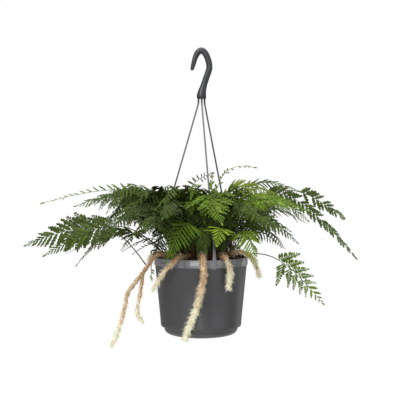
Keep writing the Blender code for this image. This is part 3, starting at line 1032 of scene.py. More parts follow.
@dataclass
class Pot:
    """The tapered pot: lip, rim band, wall, skirt, floor with drain holes and standing ring.

    Args:
        band_height: height of the rim band.
        band_depth: how far the band stands out from the wall.
        wall: thickness of the wall.
        foot_radius: outer radius of the skirt's foot.
        skirt_height: height of the floor above the foot.
        floor: thickness of the floor.
        height: from the foot to the rim.
        sides: sides that its round shapes are turned in.
        spare_slot: where the slot without an arm is, in degrees.
        ring_outer: outer radius of the standing ring under the floor.
        ring_inner: its inner radius.
        ring_drop: how far the ring goes below the foot.
        stud_hole: radius of the hole in the floor's middle.
        drain_holes: number of drain holes.
        drain_ring: radius of the ring that they lie on.
        drain_radius: radius of one hole.
        slot_turn: from an arm's middle to the slot beside it, in degrees.
    """

    band_height: float = 11.4
    band_depth: float = 1.4
    wall: float = 1.4
    foot_radius: float = 59.8
    skirt_height: float = 9.0
    floor: float = 1.6
    height: float = 102.0
    sides: int = 144
    spare_slot: float = -141.0
    ring_outer: float = 40.0
    ring_inner: float = 38.6
    ring_drop: float = 9.7
    stud_hole: float = 3.5
    drain_holes: int = 6
    drain_ring: float = 26.0
    drain_radius: float = 3.6
    slot_turn: float = 6.0
    rim_z: float = field(init=False)
    rim_radius: float = field(init=False)

    def __post_init__(self) -> None:
        """Takes the rim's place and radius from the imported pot."""
        self.rim_z = height("pot", 1)
        self.rim_radius = radius_of("pot")

    @property
    def foot_z(self) -> float:
        """Height of the skirt's foot."""
        return self.rim_z - self.height

    def wall_radius(self, z: float) -> float:
        """Outer radius of the wall.

        Args:
            z: the height that it is taken at.

        Returns:
            The radius.
        """
        top = self.rim_z - self.band_height
        share = (top - z) / (top - self.foot_z)
        return (self.rim_radius - self.band_depth) * (1 - share) + self.foot_radius * share

    def build(self) -> None:
        """Builds the pot."""
        top, band = self.rim_z, self.rim_z - self.band_height
        foot, floor = self.foot_z, self.foot_z + self.skirt_height
        rim = self.rim_radius
        profile = [
            (rim - 0.25, top - 0.25),
            (rim, top - 0.9),
            (rim, band + 1.5),
            (rim - 0.15, band + 0.9),
            (rim - 0.15, band + 0.25),
            (rim - 0.45, band),
            (self.wall_radius(band) + 0.35, band),
            (self.wall_radius(band), band - 0.5),
            (self.wall_radius(foot + 5.2), foot + 5.2),
            (self.wall_radius(foot + 4.8) + 0.25, foot + 4.8),
            (self.wall_radius(foot) + 0.1, foot + 0.4),
            (self.wall_radius(foot) - 0.3, foot),
            (self.wall_radius(foot) - self.wall, foot + 0.1),
            (self.wall_radius(floor) - self.wall, floor),
            (self.ring_outer, floor),
            (self.ring_outer, foot - self.ring_drop),
            (self.ring_inner, foot - self.ring_drop),
            (self.ring_inner, floor),
            (self.stud_hole, floor),
            (self.stud_hole, floor + self.floor),
            (self.wall_radius(floor) - self.wall, floor + self.floor),
            (self.wall_radius(band) - self.wall, band),
            (self.wall_radius(band) - self.wall, top - 0.4),
            (self.wall_radius(band) - self.wall + 0.4, top),
            (rim - 0.9, top),
            (rim - 0.25, top - 0.25),
        ]
        whole = mesh_from(turned(profile, self.sides), "pot")
        mesh = carved(whole, self._cutters())
        for face in mesh.polygons:
            middle = face.center
            on_band = middle.z / MM > band - 0.1 and middle.xy.length / MM > rim - 2.2
            face.material_index = int(on_band)
        finishes = [POT_WALL.build(), POT_BAND_WITH_PAINTED_SHEEN.build()]
        add_piece("pot_moulding", mesh, finishes, ("pot",))

    def _cutters(self) -> list[bmesh.types.BMesh]:
        """Makes what is cut out: drain holes, slots by the clips, a spare slot, the ring's gap.

        Returns:
            The closed shapes, in metres.
        """
        floor = self.foot_z + self.skirt_height
        cutters = []
        for number in range(self.drain_holes):
            angle = math.radians(360 / self.drain_holes * number)
            ring = self.drain_ring
            centre = Vector((ring * math.cos(angle), ring * math.sin(angle), floor))
            cutters.append(upright_rod(self.drain_radius, centre, 8.0))
        slot = Vector((1.8, 2.2, 6.0))
        middle = Vector((self.rim_radius, 0, self.rim_z - self.band_height / 2))
        for arm in Arm:
            cutters.append(block(slot, middle, arm.lean + self.slot_turn))
        cutters.append(block(Vector((3.6, 8.0, 3.6)), middle, self.spare_slot))
        gap_middle = Vector((0, 0, self.foot_z - self.ring_drop))
        cutters.append(block(Vector((88.0, 12.0, 20.0)), gap_middle, 0.0))
        return cutters


@dataclass
class Saucer:
    """The shallow saucer clipped inside the pot's skirt, with a stud through the floor.

    Args:
        pot: the pot that it hangs under.
        wall: its thickness.
        corner: radius of its lower edge.
        flare: how far its side opens from the corner to the mouth.
        lap: how far its mouth goes up inside the skirt.
        fit: gap between its mouth and the skirt.
        arc_steps: steps that the corner is cut into.
        stud_radius: radius of the stud.
        stud_head: radius of the stud's head.
        stud_tip: height of the head's cone.
    """

    pot: Pot
    wall: float = 1.4
    corner: float = 8.0
    flare: float = 2.6
    lap: float = 4.0
    fit: float = 1.2
    arc_steps: int = 10
    stud_radius: float = 3.2
    stud_head: float = 4.8
    stud_tip: float = 2.2

    def build(self) -> None:
        """Builds the saucer."""
        base = height("saucer", 0)
        mouth_z = self.pot.foot_z + self.lap
        mouth = self.pot.wall_radius(mouth_z) - self.pot.wall - self.fit
        corner = mouth - self.flare
        inside = base + self.wall
        turn = [math.radians(90 * step / self.arc_steps) for step in range(self.arc_steps + 1)]
        outer = [
            (corner - self.corner * (1 - math.sin(a)), base + self.corner * (1 - math.cos(a)))
            for a in turn
        ]
        small = self.corner - self.wall
        inner = [
            (corner - self.wall - small * (1 - math.sin(a)), inside + small * (1 - math.cos(a)))
            for a in reversed(turn)
        ]
        head = self.pot.foot_z + self.pot.skirt_height + self.pot.floor + 0.3
        profile = [
            (20.0, base + 0.8),
            (21.0, base),
            *outer,
            (mouth - 0.2, mouth_z - 0.3),
            (mouth - 0.6, mouth_z),
            (mouth - self.wall, mouth_z - 0.2),
            *inner,
            (self.stud_radius, inside),
            (self.stud_radius, head),
            (self.stud_head, head),
            (self.stud_radius, head + self.stud_tip),
        ]
        mesh = mesh_from(turned(profile, self.pot.sides), "saucer")
        add_piece("saucer_moulding", mesh, [SAUCER_PLASTIC.build()], ("saucer",))


# ------------ hanger

@dataclass
class Hanger:
    """The hook with its hub, and three thin arms that clip over the pot's rim band.

    Args:
        pot: the pot that it carries.
        hook_line: (x, z) of places along the hook's middle line, from its point to its hub's foot.
        hook_radii: its radius at each place.
        hook_stations: places along the swept hook that its radius is set at.
        hub_x: where the hub's axis is.
        hub_end: height of the hub's foot.
        plug_ring: radius of the ring that the arms' plugs stand on.
        plug_radius: radius of a plug.
        plug_showing: how far a plug shows under the hub.
        socket_cut: length of the cutter for a plug, of which half goes up into the hub.
        rod_radius: radius of an arm's rod.
        strap_width: width of the strap on the rim band.
        strap_thickness: its thickness.
        strap_above: how far above the rim the strap starts.
        lip: how far the lip reaches in under the band.
        fit: gap round a plug, and between a strap and the band.
        arm_stations: places along a swept arm that its section is set at.
    """

    pot: Pot
    hook_line: tuple[Pair, ...] = (
        (-14.0, -25.6), (-11.3, -15.8), (-8.3, -5.3), (-4.5, 1.5), (0.8, 4.5), (6.0, 0.8),
        (9.8, -6.8), (12.0, -14.3), (12.5, -21.8), (10.8, -28.5), (8.3, -35.3), (5.3, -44.3),
        (3.2, -51.5), (1.6, -57.5), (0.8, -62.5), (0.8, -66.3), (0.8, -67.5),
    )
    hook_radii: tuple[float, ...] = (
        2.6, 3.6, 4.1, 4.6, 4.8, 4.8, 4.8, 4.8, 4.8, 4.8, 4.8, 4.8, 5.3, 6.4, 7.2, 7.4, 6.4,
    )
    hook_stations: int = 120
    hub_x: float = 0.8
    hub_end: float = -67.5
    plug_ring: float = 4.8
    plug_radius: float = 1.35
    plug_showing: float = 7.5
    socket_cut: float = 12.0
    rod_radius: float = 1.15
    strap_width: float = 6.5
    strap_thickness: float = 1.4
    strap_above: float = 7.0
    lip: float = 2.2
    fit: float = 0.3
    arm_stations: int = 260

    def build(self) -> None:
        """Builds the hook and the arms."""
        self._build_hook(HANGER.build())
        finish = ARM_PAINTED_HIGHLIGHTS.build()
        for arm in Arm:
            self._build_arm(arm, finish)

    def _build_hook(self, finish: Material) -> None:
        """Sweeps the hook's rod and hub, and sinks a socket for each arm.

        Args:
            finish: its material.
        """
        places = [Vector((x, 0.0, z)) * MM for x, z in self.hook_line]
        spine = Spine(smooth_path(places, 8), Vector((0, 1, 0)))
        rows = [np.array(spot) for spot in places]
        knots = [int(np.linalg.norm(spine.points - row, axis=1).argmin()) for row in rows]
        at_knots = spine.reach[knots] / spine.length
        even = np.linspace(0.0, 1.0, self.hook_stations)
        radii = np.interp(even, at_knots, self.hook_radii) * MM
        radii *= np.minimum(1.0, np.sqrt(np.clip(even / 0.02, 0.05, 1.0)))
        mesh = swept("hook", spine, radii * 1.02, radii * 0.98, 32, 2.3)
        mouth = self.plug_radius + self.fit
        sockets = [upright_rod(mouth, self._socket(arm), self.socket_cut) for arm in Arm]
        hook = carved(mesh, sockets)
        add_piece("hook_moulding", hook, [finish], ("hanger_hook",))

    def _socket(self, arm: Arm) -> Vector:
        """The mouth of an arm's socket.

        Args:
            arm: which arm.

        Returns:
            Its place, in millimetres.
        """
        angle = math.radians(arm.plug)
        ring = Vector((math.cos(angle), math.sin(angle), 0.0)) * self.plug_ring
        return Vector((self.hub_x, 0.0, self.hub_end)) + ring

    def _build_arm(self, arm: Arm, finish: Material) -> None:
        """Sweeps one arm: plug, long rod, a strap down the band and the lip that hooks under it.

        Args:
            arm: which arm.
            finish: its material.
        """
        angle = math.radians(arm.lean)
        away = Vector((math.cos(angle), math.sin(angle), 0.0))
        aside = away.cross(Vector((0, 0, 1)))
        strap = self.pot.rim_radius + self.fit + self.strap_thickness / 2
        foot = self.pot.rim_z - self.pot.band_height - self.fit - self.strap_thickness / 2
        top = self._socket(arm)
        rod_top = top - Vector((0, 0, self.plug_showing))
        strap_top = away * strap + Vector((0, 0, self.pot.rim_z + self.strap_above))
        shoulder = rod_top.lerp(strap_top, 0.94)
        down = strap_top + Vector((0, 0, -6.0))
        corner = away * strap + Vector((0, 0, foot))
        lip = corner - away * self.lip
        rod, plug = self.rod_radius, self.plug_radius
        wide, thin = self.strap_width / 2, self.strap_thickness / 2
        stations = (
            (top + Vector((0, 0, 5.5)), plug, plug),
            (rod_top + Vector((0, 0, 1.0)), plug, plug),
            (rod_top.lerp(strap_top, 0.004), plug * 0.95, plug * 0.95),
            (rod_top.lerp(strap_top, 0.012), rod, rod),
            (rod_top.lerp(strap_top, 0.5), rod, rod),
            (shoulder, rod, rod),
            (shoulder.lerp(strap_top, 0.5), rod * 1.8, rod),
            (strap_top, wide * 0.72, thin),
            (down, wide * 0.84, thin),
            (corner + Vector((0, 0, 0.9)), wide, thin),
            (corner - away * 0.5, wide, thin),
            (lip, wide * 0.96, thin * 0.85),
        )
        points = np.array([tuple(spot * MM) for spot, _, _ in stations])
        bends = Spine(points, aside)
        even = np.linspace(0.0, bends.length, self.arm_stations)
        fine = Spine(bends.at(points, even), aside)
        across = np.interp(even, bends.reach, [width * MM for _, width, _ in stations])
        up = np.interp(even, bends.reach, [depth * MM for _, _, depth in stations])
        mesh = swept(arm.name, fine, across, up, 16, 2.6)
        node = f"hanger_arm_{arm.name.lower()}"
        add_piece(f"arm_{arm.name.lower()}_moulding", mesh, [finish], (node,))


# ------------ places on the plant

@dataclass(frozen=True)
class Site:
    """Where the plant's points lie: they are drawn from the pot's axis and its rim.

    Args:
        pot: the pot that it grows in.
        mix_below_rim: how far the edge of the potting mix lies below the rim.
        mix_crown: how far its middle stands above its edge.
        mix_gap: from the mix's edge to the outside of the rim.
    """

    pot: Pot
    mix_below_rim: float = 5.0
    mix_crown: float = 6.0
    mix_gap: float = 3.1

    def point(self, x: float, y: float, above_rim: float) -> Vector:
        """A point of the plant, in metres."""
        return Vector((x, y, self.pot.rim_z + above_rim)) * MM

    def mix_top(self, radius: float) -> float:
        """Height of the potting mix's mound above the rim, at a distance from the axis."""
        share = min(1.0, radius / self.mix_edge)
        return self.mix_crown * (1 - share * share) - self.mix_below_rim

    @property
    def mix_edge(self) -> float:
        """Radius of the potting mix at its top."""
        return self.pot.rim_radius - self.mix_gap

    def on_mix(self, x: float, y: float, rise: float = 0.6) -> Vector:
        """A point just above the potting mix, in metres."""
        return self.point(x, y, self.mix_top(math.hypot(x, y)) + rise)


def frames(origins: Array, ahead: Array, upward: Array, scales: Array) -> Array:
    """Placings as a stack of matrices.

    Args:
        origins: where each copy's origin goes.
        ahead: the direction of each copy's x axis.
        upward: roughly the direction of each copy's z axis.
        scales: its size along its own three axes.

    Returns:
        A stack of 4 x 4 matrices.
    """
    x = ahead / np.linalg.norm(ahead, axis=1, keepdims=True)
    y = np.cross(upward, x)
    y /= np.linalg.norm(y, axis=1, keepdims=True)
    z = np.cross(x, y)
    stack = np.zeros((len(origins), 4, 4))
    stack[:, :3, 0] = x * scales[:, 0:1]
    stack[:, :3, 1] = y * scales[:, 1:2]
    stack[:, :3, 2] = z * scales[:, 2:3]
    stack[:, :3, 3] = origins
    stack[:, 3, 3] = 1.0
    return stack


def turned_frames(origins: Array, yaw: Array, pitch: Array, roll: Array, scales: Array) -> Array:
    """Placings in a flat blade that lies along x, with its angles in radians.

    Args:
        origins: where each copy's origin goes.
        yaw: its turn to the side.
        pitch: its rise.
        roll: its twist about its own length.
        scales: its size along its own three axes.

    Returns:
        A stack of 4 x 4 matrices.
    """
    flat = np.cos(pitch)
    ahead = np.stack([np.cos(yaw) * flat, np.sin(yaw) * flat, np.sin(pitch)], axis=1)
    side = np.stack([-np.sin(yaw), np.cos(yaw), np.zeros_like(yaw)], axis=1)
    upright = np.cross(ahead, side)
    upward = upright * np.cos(roll)[:, None] + side * np.sin(roll)[:, None]
    return frames(origins, ahead, upward, scales)


# ------------ potting mix

@dataclass
class PottingMix:
    """A rough mound of bark and peat, with chips and fibres lying on it.

    Args:
        site: where it lies.
        chips: how many chips.
        fibres: how many fibres.
        rings: rings of points on the mound's top.
        sides: sides that it is turned in.
        lump: usual height of its lumps.
        seed: start of its random draws.
    """

    site: Site
    chips: int = 420
    fibres: int = 170
    rings: int = 34
    sides: int = 110
    lump: float = 1.1
    seed: int = 11

    def build(self) -> None:
        """Builds the mound and what lies on it."""
        rng = np.random.default_rng(self.seed)
        finish = MIX.build()
        add_piece("mix_mound", self._mound(rng), [finish], ("potting_mix",), sharp=80.0)
        add_piece("mix_chips", self._chips(rng), [finish], sharp=25.0)
        add_piece("mix_fibres", self._fibres(rng), [FIBRE.build()], sharp=60.0)

    def _mound(self, rng: Draws) -> Mesh:
        """The body of the mix, with a lumpy top.

        Args:
            rng: its random draws.

        Returns:
            The mesh.
        """
        edge = self.site.mix_edge
        rim = self.site.pot.rim_z
        bottom = height("potting_mix", 0)
        shares = np.linspace(0.0, 1.0, self.rings)
        dome = [(edge * share, rim + self.site.mix_top(edge * share)) for share in shares]
        foot = self.site.pot.wall_radius(bottom) - 1.7
        profile = [*dome, (edge, rim - 11.0), (foot, bottom), (0.0, bottom)]
        mesh = mesh_from(turned(profile, self.sides), "mound")
        points = positions(mesh)
        top = points[:, 2] > (rim - 6.0) * MM
        inner = np.hypot(points[:, 0], points[:, 1]) < (edge - 1.0) * MM
        lumps = rng.normal(0.0, self.lump * MM, len(points))
        points[:, 2] += np.where(top & inner, lumps - 0.6 * MM, 0.0)
        place(mesh, points)
        write_values(mesh, "shade", rng.uniform(-0.1, 0.4, len(points)))
        return mesh

    def _scattered(self, rng: Draws, count: int, rise: float) -> Array:
        """Even random places on the mound.

        Args:
            rng: its random draws.
            count: how many places.
            rise: height above the mix, in millimetres.

        Returns:
            The places, in metres, one row each.
        """
        radius = (self.site.mix_edge - 2.5) * np.sqrt(rng.uniform(0.0, 1.0, count))
        angle = rng.uniform(0.0, math.tau, count)
        flat = zip(radius * np.cos(angle), radius * np.sin(angle))
        return np.array([tuple(self.site.on_mix(x, y, rise)) for x, y in flat])

    def _chips(self, rng: Draws) -> Mesh:
        """Angular bark chips lying at all angles.

        Args:
            rng: its random draws.

        Returns:
            The mesh.
        """
        bm = bmesh.new()
        bmesh.ops.create_icosphere(bm, subdivisions=1, radius=1.0)
        template = mesh_from(bm, "chip")
        spots = self._scattered(rng, self.chips, 0.2)
        sizes = rng.uniform(0.8, 2.6, (self.chips, 1)) * np.array([[1.3, 0.9, 0.5]]) * MM
        ahead = rng.normal(0.0, 1.0, (self.chips, 3)) * np.array([[1.0, 1.0, 0.35]])
        upward = rng.normal(0.0, 0.5, (self.chips, 3)) + np.array([[0.0, 0.0, 1.0]])
        shades = rng.uniform(0.0, 1.0, self.chips)
        return repeated("chips", template, frames(spots, ahead, upward, sizes), shades)

    def _fibres(self, rng: Draws) -> Mesh:
        """Thin bent fibres and rootlets.

        Args:
            rng: its random draws.

        Returns:
            The mesh.
        """
        rods = []
        for spot in self._scattered(rng, self.fibres, 1.2):
            heading = rng.uniform(0.0, math.tau)
            reach = rng.uniform(5.0, 16.0) * MM
            along = np.array([math.cos(heading), math.sin(heading), 0.0]) * reach
            bend = reach * rng.normal(0.0, 0.25)
            side = np.array([-math.sin(heading), math.cos(heading), 0.0]) * bend
            lift = np.array([0.0, 0.0, rng.uniform(-0.5, 3.0) * MM])
            middle = spot + side + lift
            points = [Vector(spot - along / 2), Vector(middle), Vector(spot + along / 2)]
            spine = Spine(smooth_path(points, 4))
            thick = np.full(7, rng.uniform(0.16, 0.42) * MM)
            rods.append(swept("fibre", spine, thick, thick, 4))
        return joined("fibres", rods)


# ------------ rhizomes

Points = tuple[Triple, ...]


@dataclass(frozen=True)
class Rhizome:
    """A creeping rhizome furred with scales, from its root on the mix to its growing tip.

    A side shoot has SHOOT_RADII at its root and tip, and its fur starts at SHOOT_AGE. The core's
    steps are LUMP_LENGTH long, and TUFT_LENGTH is one radian of the wave that gathers the scales.

    Args:
        name: which packed rhizome it is.
        start: radius at its root, in millimetres.
        tip: radius near its tip.
        points: (x, y, height above the rim) of its middle line.
        shoot: the same for a side shoot, or nothing.
        pale_from: share of its length where the tan fur turns cream.
    """

    SHOOT_RADII = (2.2, 1.9)
    SHOOT_AGE = 0.45
    LUMP_LENGTH = 1.6
    TUFT_LENGTH = 1.7
    SCALES_PER_SQUARE_MM = 0.5

    name: str
    start: float
    tip: float
    points: Points
    shoot: Points = ()
    pale_from: float = 0.75

    def build(self, site: Site, fur: Material) -> None:
        """Builds the rhizome's core and its fur.

        Args:
            site: where its points lie.
            fur: its material.
        """
        rng = np.random.default_rng(sum(map(ord, self.name)))
        meshes = self._limb(site, rng, self.points, self.start, self.tip, 0.0)
        if self.shoot:
            meshes += self._limb(site, rng, self.shoot, *self.SHOOT_RADII, self.SHOOT_AGE)
        add_piece(
            f"rhizome_{self.name}_fur", joined("rhizome", meshes), [fur],
            (f"rhizome_{self.name}",), sharp=50.0,
        )

    def _limb(
        self,
        site: Site,
        rng: Draws,
        points: Points,
        start: float,
        tip: float,
        from_age: float,
    ) -> list[Mesh]:
        """Makes one length of rhizome: its lumpy core and the scales on it.

        Args:
            site: where its points lie.
            rng: its random draws.
            points: its middle line.
            start: radius at its start.
            tip: radius near its tip.
            from_age: how far along the whole rhizome it starts, from 0 to 1.

        Returns:
            The core and the scales.
        """
        spine = Spine(smooth_path([site.point(*point) for point in points], 8))
        steps = max(24, int(spine.length / (self.LUMP_LENGTH * MM)))
        even = np.linspace(0.0, 1.0, steps)
        lumps = np.interp(even, np.linspace(0, 1, steps // 3), rng.normal(1.0, 0.13, steps // 3))
        radii = (start + (tip - start) * even) * lumps * MM
        ends = np.minimum(even, 1.0 - even) * spine.length
        radii *= np.sqrt(np.clip(1 - (1 - np.clip(ends / (0.9 * tip * MM), 0.02, 1)) ** 2, 0.05, 1))
        core = swept("core", spine, radii, radii, 12)
        age = from_age + (1 - from_age) * read_values(core, "along")
        write_values(core, "along", self._paleness(age))
        return [core, self._scales(rng, spine, even, radii, from_age)]

    def _paleness(self, share: Array) -> Array:
        """How pale the fur is at these shares of the way to the tip."""
        turn = np.clip((share - self.pale_from + 0.2) / 0.4, 0.0, 1.0)
        return 0.1 + 0.25 * share + 0.6 * turn * turn * (3 - 2 * turn)

    def _scales(self, rng: Draws, spine: Spine, even: Array, radii: Array, from_age: float) -> Mesh:
        """Makes the narrow scales that lie forward and stand a little out.

        Args:
            rng: its random draws.
            spine: the length's middle line.
            even: even shares of the way along it.
            radii: the core's radius at each, in metres.
            from_age: how far along the whole rhizome it starts.

        Returns:
            The scales as one mesh.
        """
        area = spine.length * math.tau * float(radii.mean()) / MM ** 2
        count = int(area * self.SCALES_PER_SQUARE_MM)
        share = rng.uniform(0.0, 1.0, count)
        angle = rng.uniform(0.0, math.tau, count)
        radius = np.interp(share, even, radii) * 0.9
        reach = share * spine.length
        local = np.stack([reach, np.cos(angle) * radius, np.sin(angle) * radius], axis=1)
        outer = local.copy()
        outer[:, 1:] *= 1.0 + (MM / np.maximum(radius, 1e-6))[:, None]
        foot = spine.carry(local)
        out = spine.carry(outer) - foot
        out /= np.linalg.norm(out, axis=1, keepdims=True)
        along = spine.at(spine.along, local[:, 0])
        age = from_age + (1 - from_age) * share
        pale = self._paleness(age)
        loose = 1.0 + 0.45 * pale
        lean = np.radians(rng.uniform(16.0, 56.0, count) * loose)[:, None]
        side = np.cross(along, out) * rng.normal(0.0, 0.35, (count, 1))
        ahead = along * np.cos(lean) + out * np.sin(lean) + side
        patch = np.interp(share, np.linspace(0, 1, 24), rng.normal(0.0, 0.35, 24))
        wave = np.sin(reach / (self.TUFT_LENGTH * MM) + 2.0 * angle)
        tuft = 1.0 + 0.5 * np.clip(wave + patch, -0.4, 1.0)
        length = rng.uniform(1.6, 4.0, count) * loose * tuft * MM
        width = rng.uniform(0.35, 0.75, count) * MM
        scales = np.stack([length, width, np.full(count, 0.2 * MM)], axis=1)
        bm = bmesh.new()
        bmesh.ops.create_cone(bm, cap_ends=True, segments=3, radius1=1.0, radius2=0.12, depth=1.0)
        to_x = Matrix.Translation((0.5, 0, 0)) @ Matrix.Rotation(math.pi / 2, 4, "Y")
        bmesh.ops.transform(bm, matrix=to_x, verts=bm.verts)
        template = mesh_from(bm, "scale")
        # Ridge rises from a scale's foot to its tip; the fur darkens the feet, partly as painted
        # shade beneath the scales.
        write_values(template, "ridge", positions(template)[:, 0])
        shades = rng.uniform(-0.9, 0.9, count) + patch
        return repeated("scales", template, frames(foot, ahead, out, scales), shades, pale)


RHIZOMES = (
    Rhizome("left_long", 2.9, 2.0, (
        (-14, -3, 5.6), (-40, -16, 4.0), (-63, -30, 5.0), (-74, -31, -6), (-85, -30, -22),
        (-98, -30, -38), (-107, -30, -52), (-111, -30, -72), (-117, -30, -94),
        (-125, -30, -117), (-131, -30, -129),
    ), (
        (-85, -30, -22), (-86, -29, -34), (-89, -28, -52), (-92, -28, -68), (-93, -28, -80),
        (-89, -28, -89), (-84, -28, -95),
    )),
    Rhizome("left_short", 3.4, 1.8, (
        (-14, -24, 5.2), (-24, -46, 3.4), (-31, -61, 4.2), (-41, -68, -5), (-52, -62, -16),
        (-60, -58, -30), (-66, -55, -38), (-70, -55, -45),
    )),
    Rhizome("front", 4.6, 3.2, (
        (6, -30, 5.8), (3, -52, 4.8), (2, -70, 5.8), (2.5, -77, -4), (4, -77, -20),
        (0, -76, -40), (-5, -75, -62), (-13, -74, -84), (-20, -73, -101), (-23, -73, -112),
    ), pale_from=0.62),
    Rhizome("front_right", 3.6, 2.6, (
        (26, -34, 4.6), (31, -52, 3.8), (34, -62, 4.2), (38.5, -66, -6), (41, -64, -16),
        (40, -63, -28), (39, -62, -41),
    ), pale_from=0.55),
    Rhizome("right", 3.4, 2.4, (
        (20, -12, 5.6), (40, -26, 5.0), (55, -31, 9.6), (64, -31, 7.6), (71, -29, 3.0),
        (78, -27, -7), (83, -25, -18), (86, -24, -29),
    )),
    Rhizome("far_left", 3.4, 2.8, (
        (-34, 4, 4.0), (-52, 5, 3.4), (-65, 5, 5.0), (-74, 5, 0.0), (-79, 5, -9),
    )),
    Rhizome("back_left", 3.6, 2.4, (
        (-16, 22, 4.8), (-32, 42, 3.6), (-44, 55, 4.6), (-52, 63, -3), (-57, 68, -20),
        (-60, 68, -42), (-66, 70, -64),
    )),
    Rhizome("back", 3.8, 2.6, (
        (2, 30, 5.0), (6, 50, 3.8), (8, 68, 4.6), (9, 77, -5), (10, 77, -24), (6, 76, -46),
    )),
    Rhizome("back_right", 3.4, 2.4, (
        (26, 12, 4.8), (46, 22, 3.6), (60, 32, 4.6), (65, 42, -4), (65, 50, -20), (62, 55, -40),
    )),
)


# ------------ foliage

Finishes = dict[str, Material]
LEAF_SHARP = 35.0


class Foliage:
    """The leaflet and pinna meshes that the fronds are made from, each of length 1.

    SIZES are a pinna's pairs of leaflets: one longer than a step of LENGTHS, in millimetres, takes
    the next. Each size comes in so many KINDS and sags by SAG at its tip. PINNULE cuts the leaflets
    that are themselves divided, and only its first three values count.

    Args:
        seed: start of the random draws.
    """

    SIZES = (3, 4, 6, 8)
    LENGTHS = (8.0, 14.0, 24.0)
    KINDS = 3
    PINNULE = Division(0.5, 0.6, 0.42, 0, 0, 0, 0)
    SAG = 0.10

    def __init__(self, seed: int) -> None:
        """Makes the leaflets and the pinnae."""
        self.rng = np.random.default_rng(seed)
        self.segment = self._leaflet(10, 0.256)
        self.leaflet = self._leaflet(14, 0.224)
        self.long_leaflet = self._leaflet(34, 0.48)
        self.pinnules = [self._pinna(3, self.PINNULE, None) for _ in range(self.KINDS)]
        self.pinnae = {
            form: {
                pairs: [self._pinna(pairs, form.value, parts) for _ in range(self.KINDS)]
                for pairs in self.SIZES
            }
            for form, parts in ((Form.FULL, self.pinnules), (Form.OPEN, []))
        }

    def _leaflet(self, corners: int, lobe: float) -> Mesh:
        """A thin lens with a lobed outline, from x = 0 to x = 1 and of half width 1.

        Args:
            corners: points round its outline.
            lobe: depth of the notches between its lobes, as a share of its half width.

        Returns:
            The mesh, with "ridge" at 1 on the midrib above and -1 below.
        """
        bm = bmesh.new()
        bmesh.ops.create_uvsphere(bm, u_segments=corners, v_segments=2, radius=1.0)
        mesh = mesh_from(bm, "leaflet")
        points = positions(mesh)
        angle = np.arctan2(points[:, 1], points[:, 0])
        pole = np.abs(points[:, 2]) > 0.5
        number = np.rint((angle % math.tau) / math.tau * corners)
        along = (1 + np.cos(angle)) / 2
        wide = np.sin(math.pi * along ** 0.85) ** 0.5
        notched = number % 2 == 1
        notch = np.where(notched, 1.0 - lobe, 1.0)
        tip = along > 0.97
        flat = np.stack([
            np.where(pole, 0.42, along + np.where(notched, -0.02, 0.03)),
            np.where(pole | tip, 0.0, np.sign(points[:, 1]) * wide * notch),
            np.where(pole, np.sign(points[:, 2]), 0.0),
        ], axis=1)
        flat[:, 2] -= np.where(pole, 0.0, 0.9 * np.abs(flat[:, 1]))
        place(mesh, flat)
        write_values(mesh, "ridge", np.where(pole, np.sign(points[:, 2]), 0.0))
        return mesh

    def _pinna(self, pairs: int, division: Division, compound: list[Mesh] | None) -> Mesh:
        """A pinna of length 1: a thin midrib with leaflets on both sides, longest near its foot.

        Args:
            pairs: pairs of leaflets.
            division: how it is cut.
            compound: divided leaflets for the foot of the largest pinna: empty for a plain one,
                and None for one that is itself such a leaflet.

        Returns:
            The mesh.
        """
        rng = self.rng
        total = 2 * pairs
        number = np.arange(total)
        side = np.where(number % 2 == 0, 1.0, -1.0)
        share = 0.05 + 0.86 * (number + 0.3) / total
        longest = division.longest if compound is None else max(division.longest, 0.8 / pairs)
        reach = longest * (1 - share) ** 0.75 + 0.04
        reach *= np.minimum(1.0, 0.72 + 4.0 * share) * rng.uniform(0.9, 1.1, total)
        gap = 0.86 / pairs
        width = np.minimum(division.wide * gap, division.slim * reach)
        width *= rng.uniform(0.92, 1.12, total)
        origins = np.stack([share, np.zeros(total), -self.SAG * share ** 2], axis=1)
        yaw = side * np.radians(62 - 22 * share + rng.normal(0, 4, total))
        pitch = np.radians(rng.normal(-6, 11, total))
        roll = side * np.radians(rng.normal(8, 16, total))
        scales = np.stack([reach, width, np.full(total, 0.006)], axis=1)
        places = turned_frames(origins, yaw, pitch, roll, scales)
        shades = rng.uniform(-0.16, 0.16, total)
        meshes = []
        simple = np.ones(total, bool)
        if compound and pairs == self.SIZES[-1]:
            simple = share > 0.3
            for kind, template in enumerate(compound):
                chosen = ~simple & (number % len(compound) == kind)
                even = scales[chosen]
                even[:, 1] = even[:, 0] * 0.95
                even[:, 2] = even[:, 0]
                turns = (yaw[chosen], pitch[chosen], roll[chosen])
                stack = turned_frames(origins[chosen], *turns, even)
                meshes.append(repeated("part", template, stack, shades[chosen]))
        body = self.segment if compound is None else self.leaflet
        meshes.append(repeated("part", body, places[simple], shades[simple]))
        tip = turned_frames(
            np.array([[0.9, 0.0, -0.08]]), np.zeros(1), np.radians([-12.0]), np.zeros(1),
            np.array([[0.12, 0.25 * gap + 0.02, 0.006]]),
        )
        meshes.append(repeated("part", self.segment, tip))
        meshes.append(self._midrib())
        return joined(f"pinna_{pairs}", meshes)

    def _midrib(self) -> Mesh:
        """The thin midrib of a pinna.

        Returns:
            The mesh.
        """
        mesh = unit_rod(4, 4)
        local = positions(mesh)
        thick = 0.008 * (1.2 - local[:, 0])
        local[:, 1] *= thick
        local[:, 2] = local[:, 2] * thick - self.SAG * local[:, 0] ** 2
        local[:, 0] *= 0.95
        place(mesh, local)
        write_values(mesh, "shade", np.full(len(local), -0.1))
        write_values(mesh, "ridge", np.full(len(local), 0.5))
        return mesh


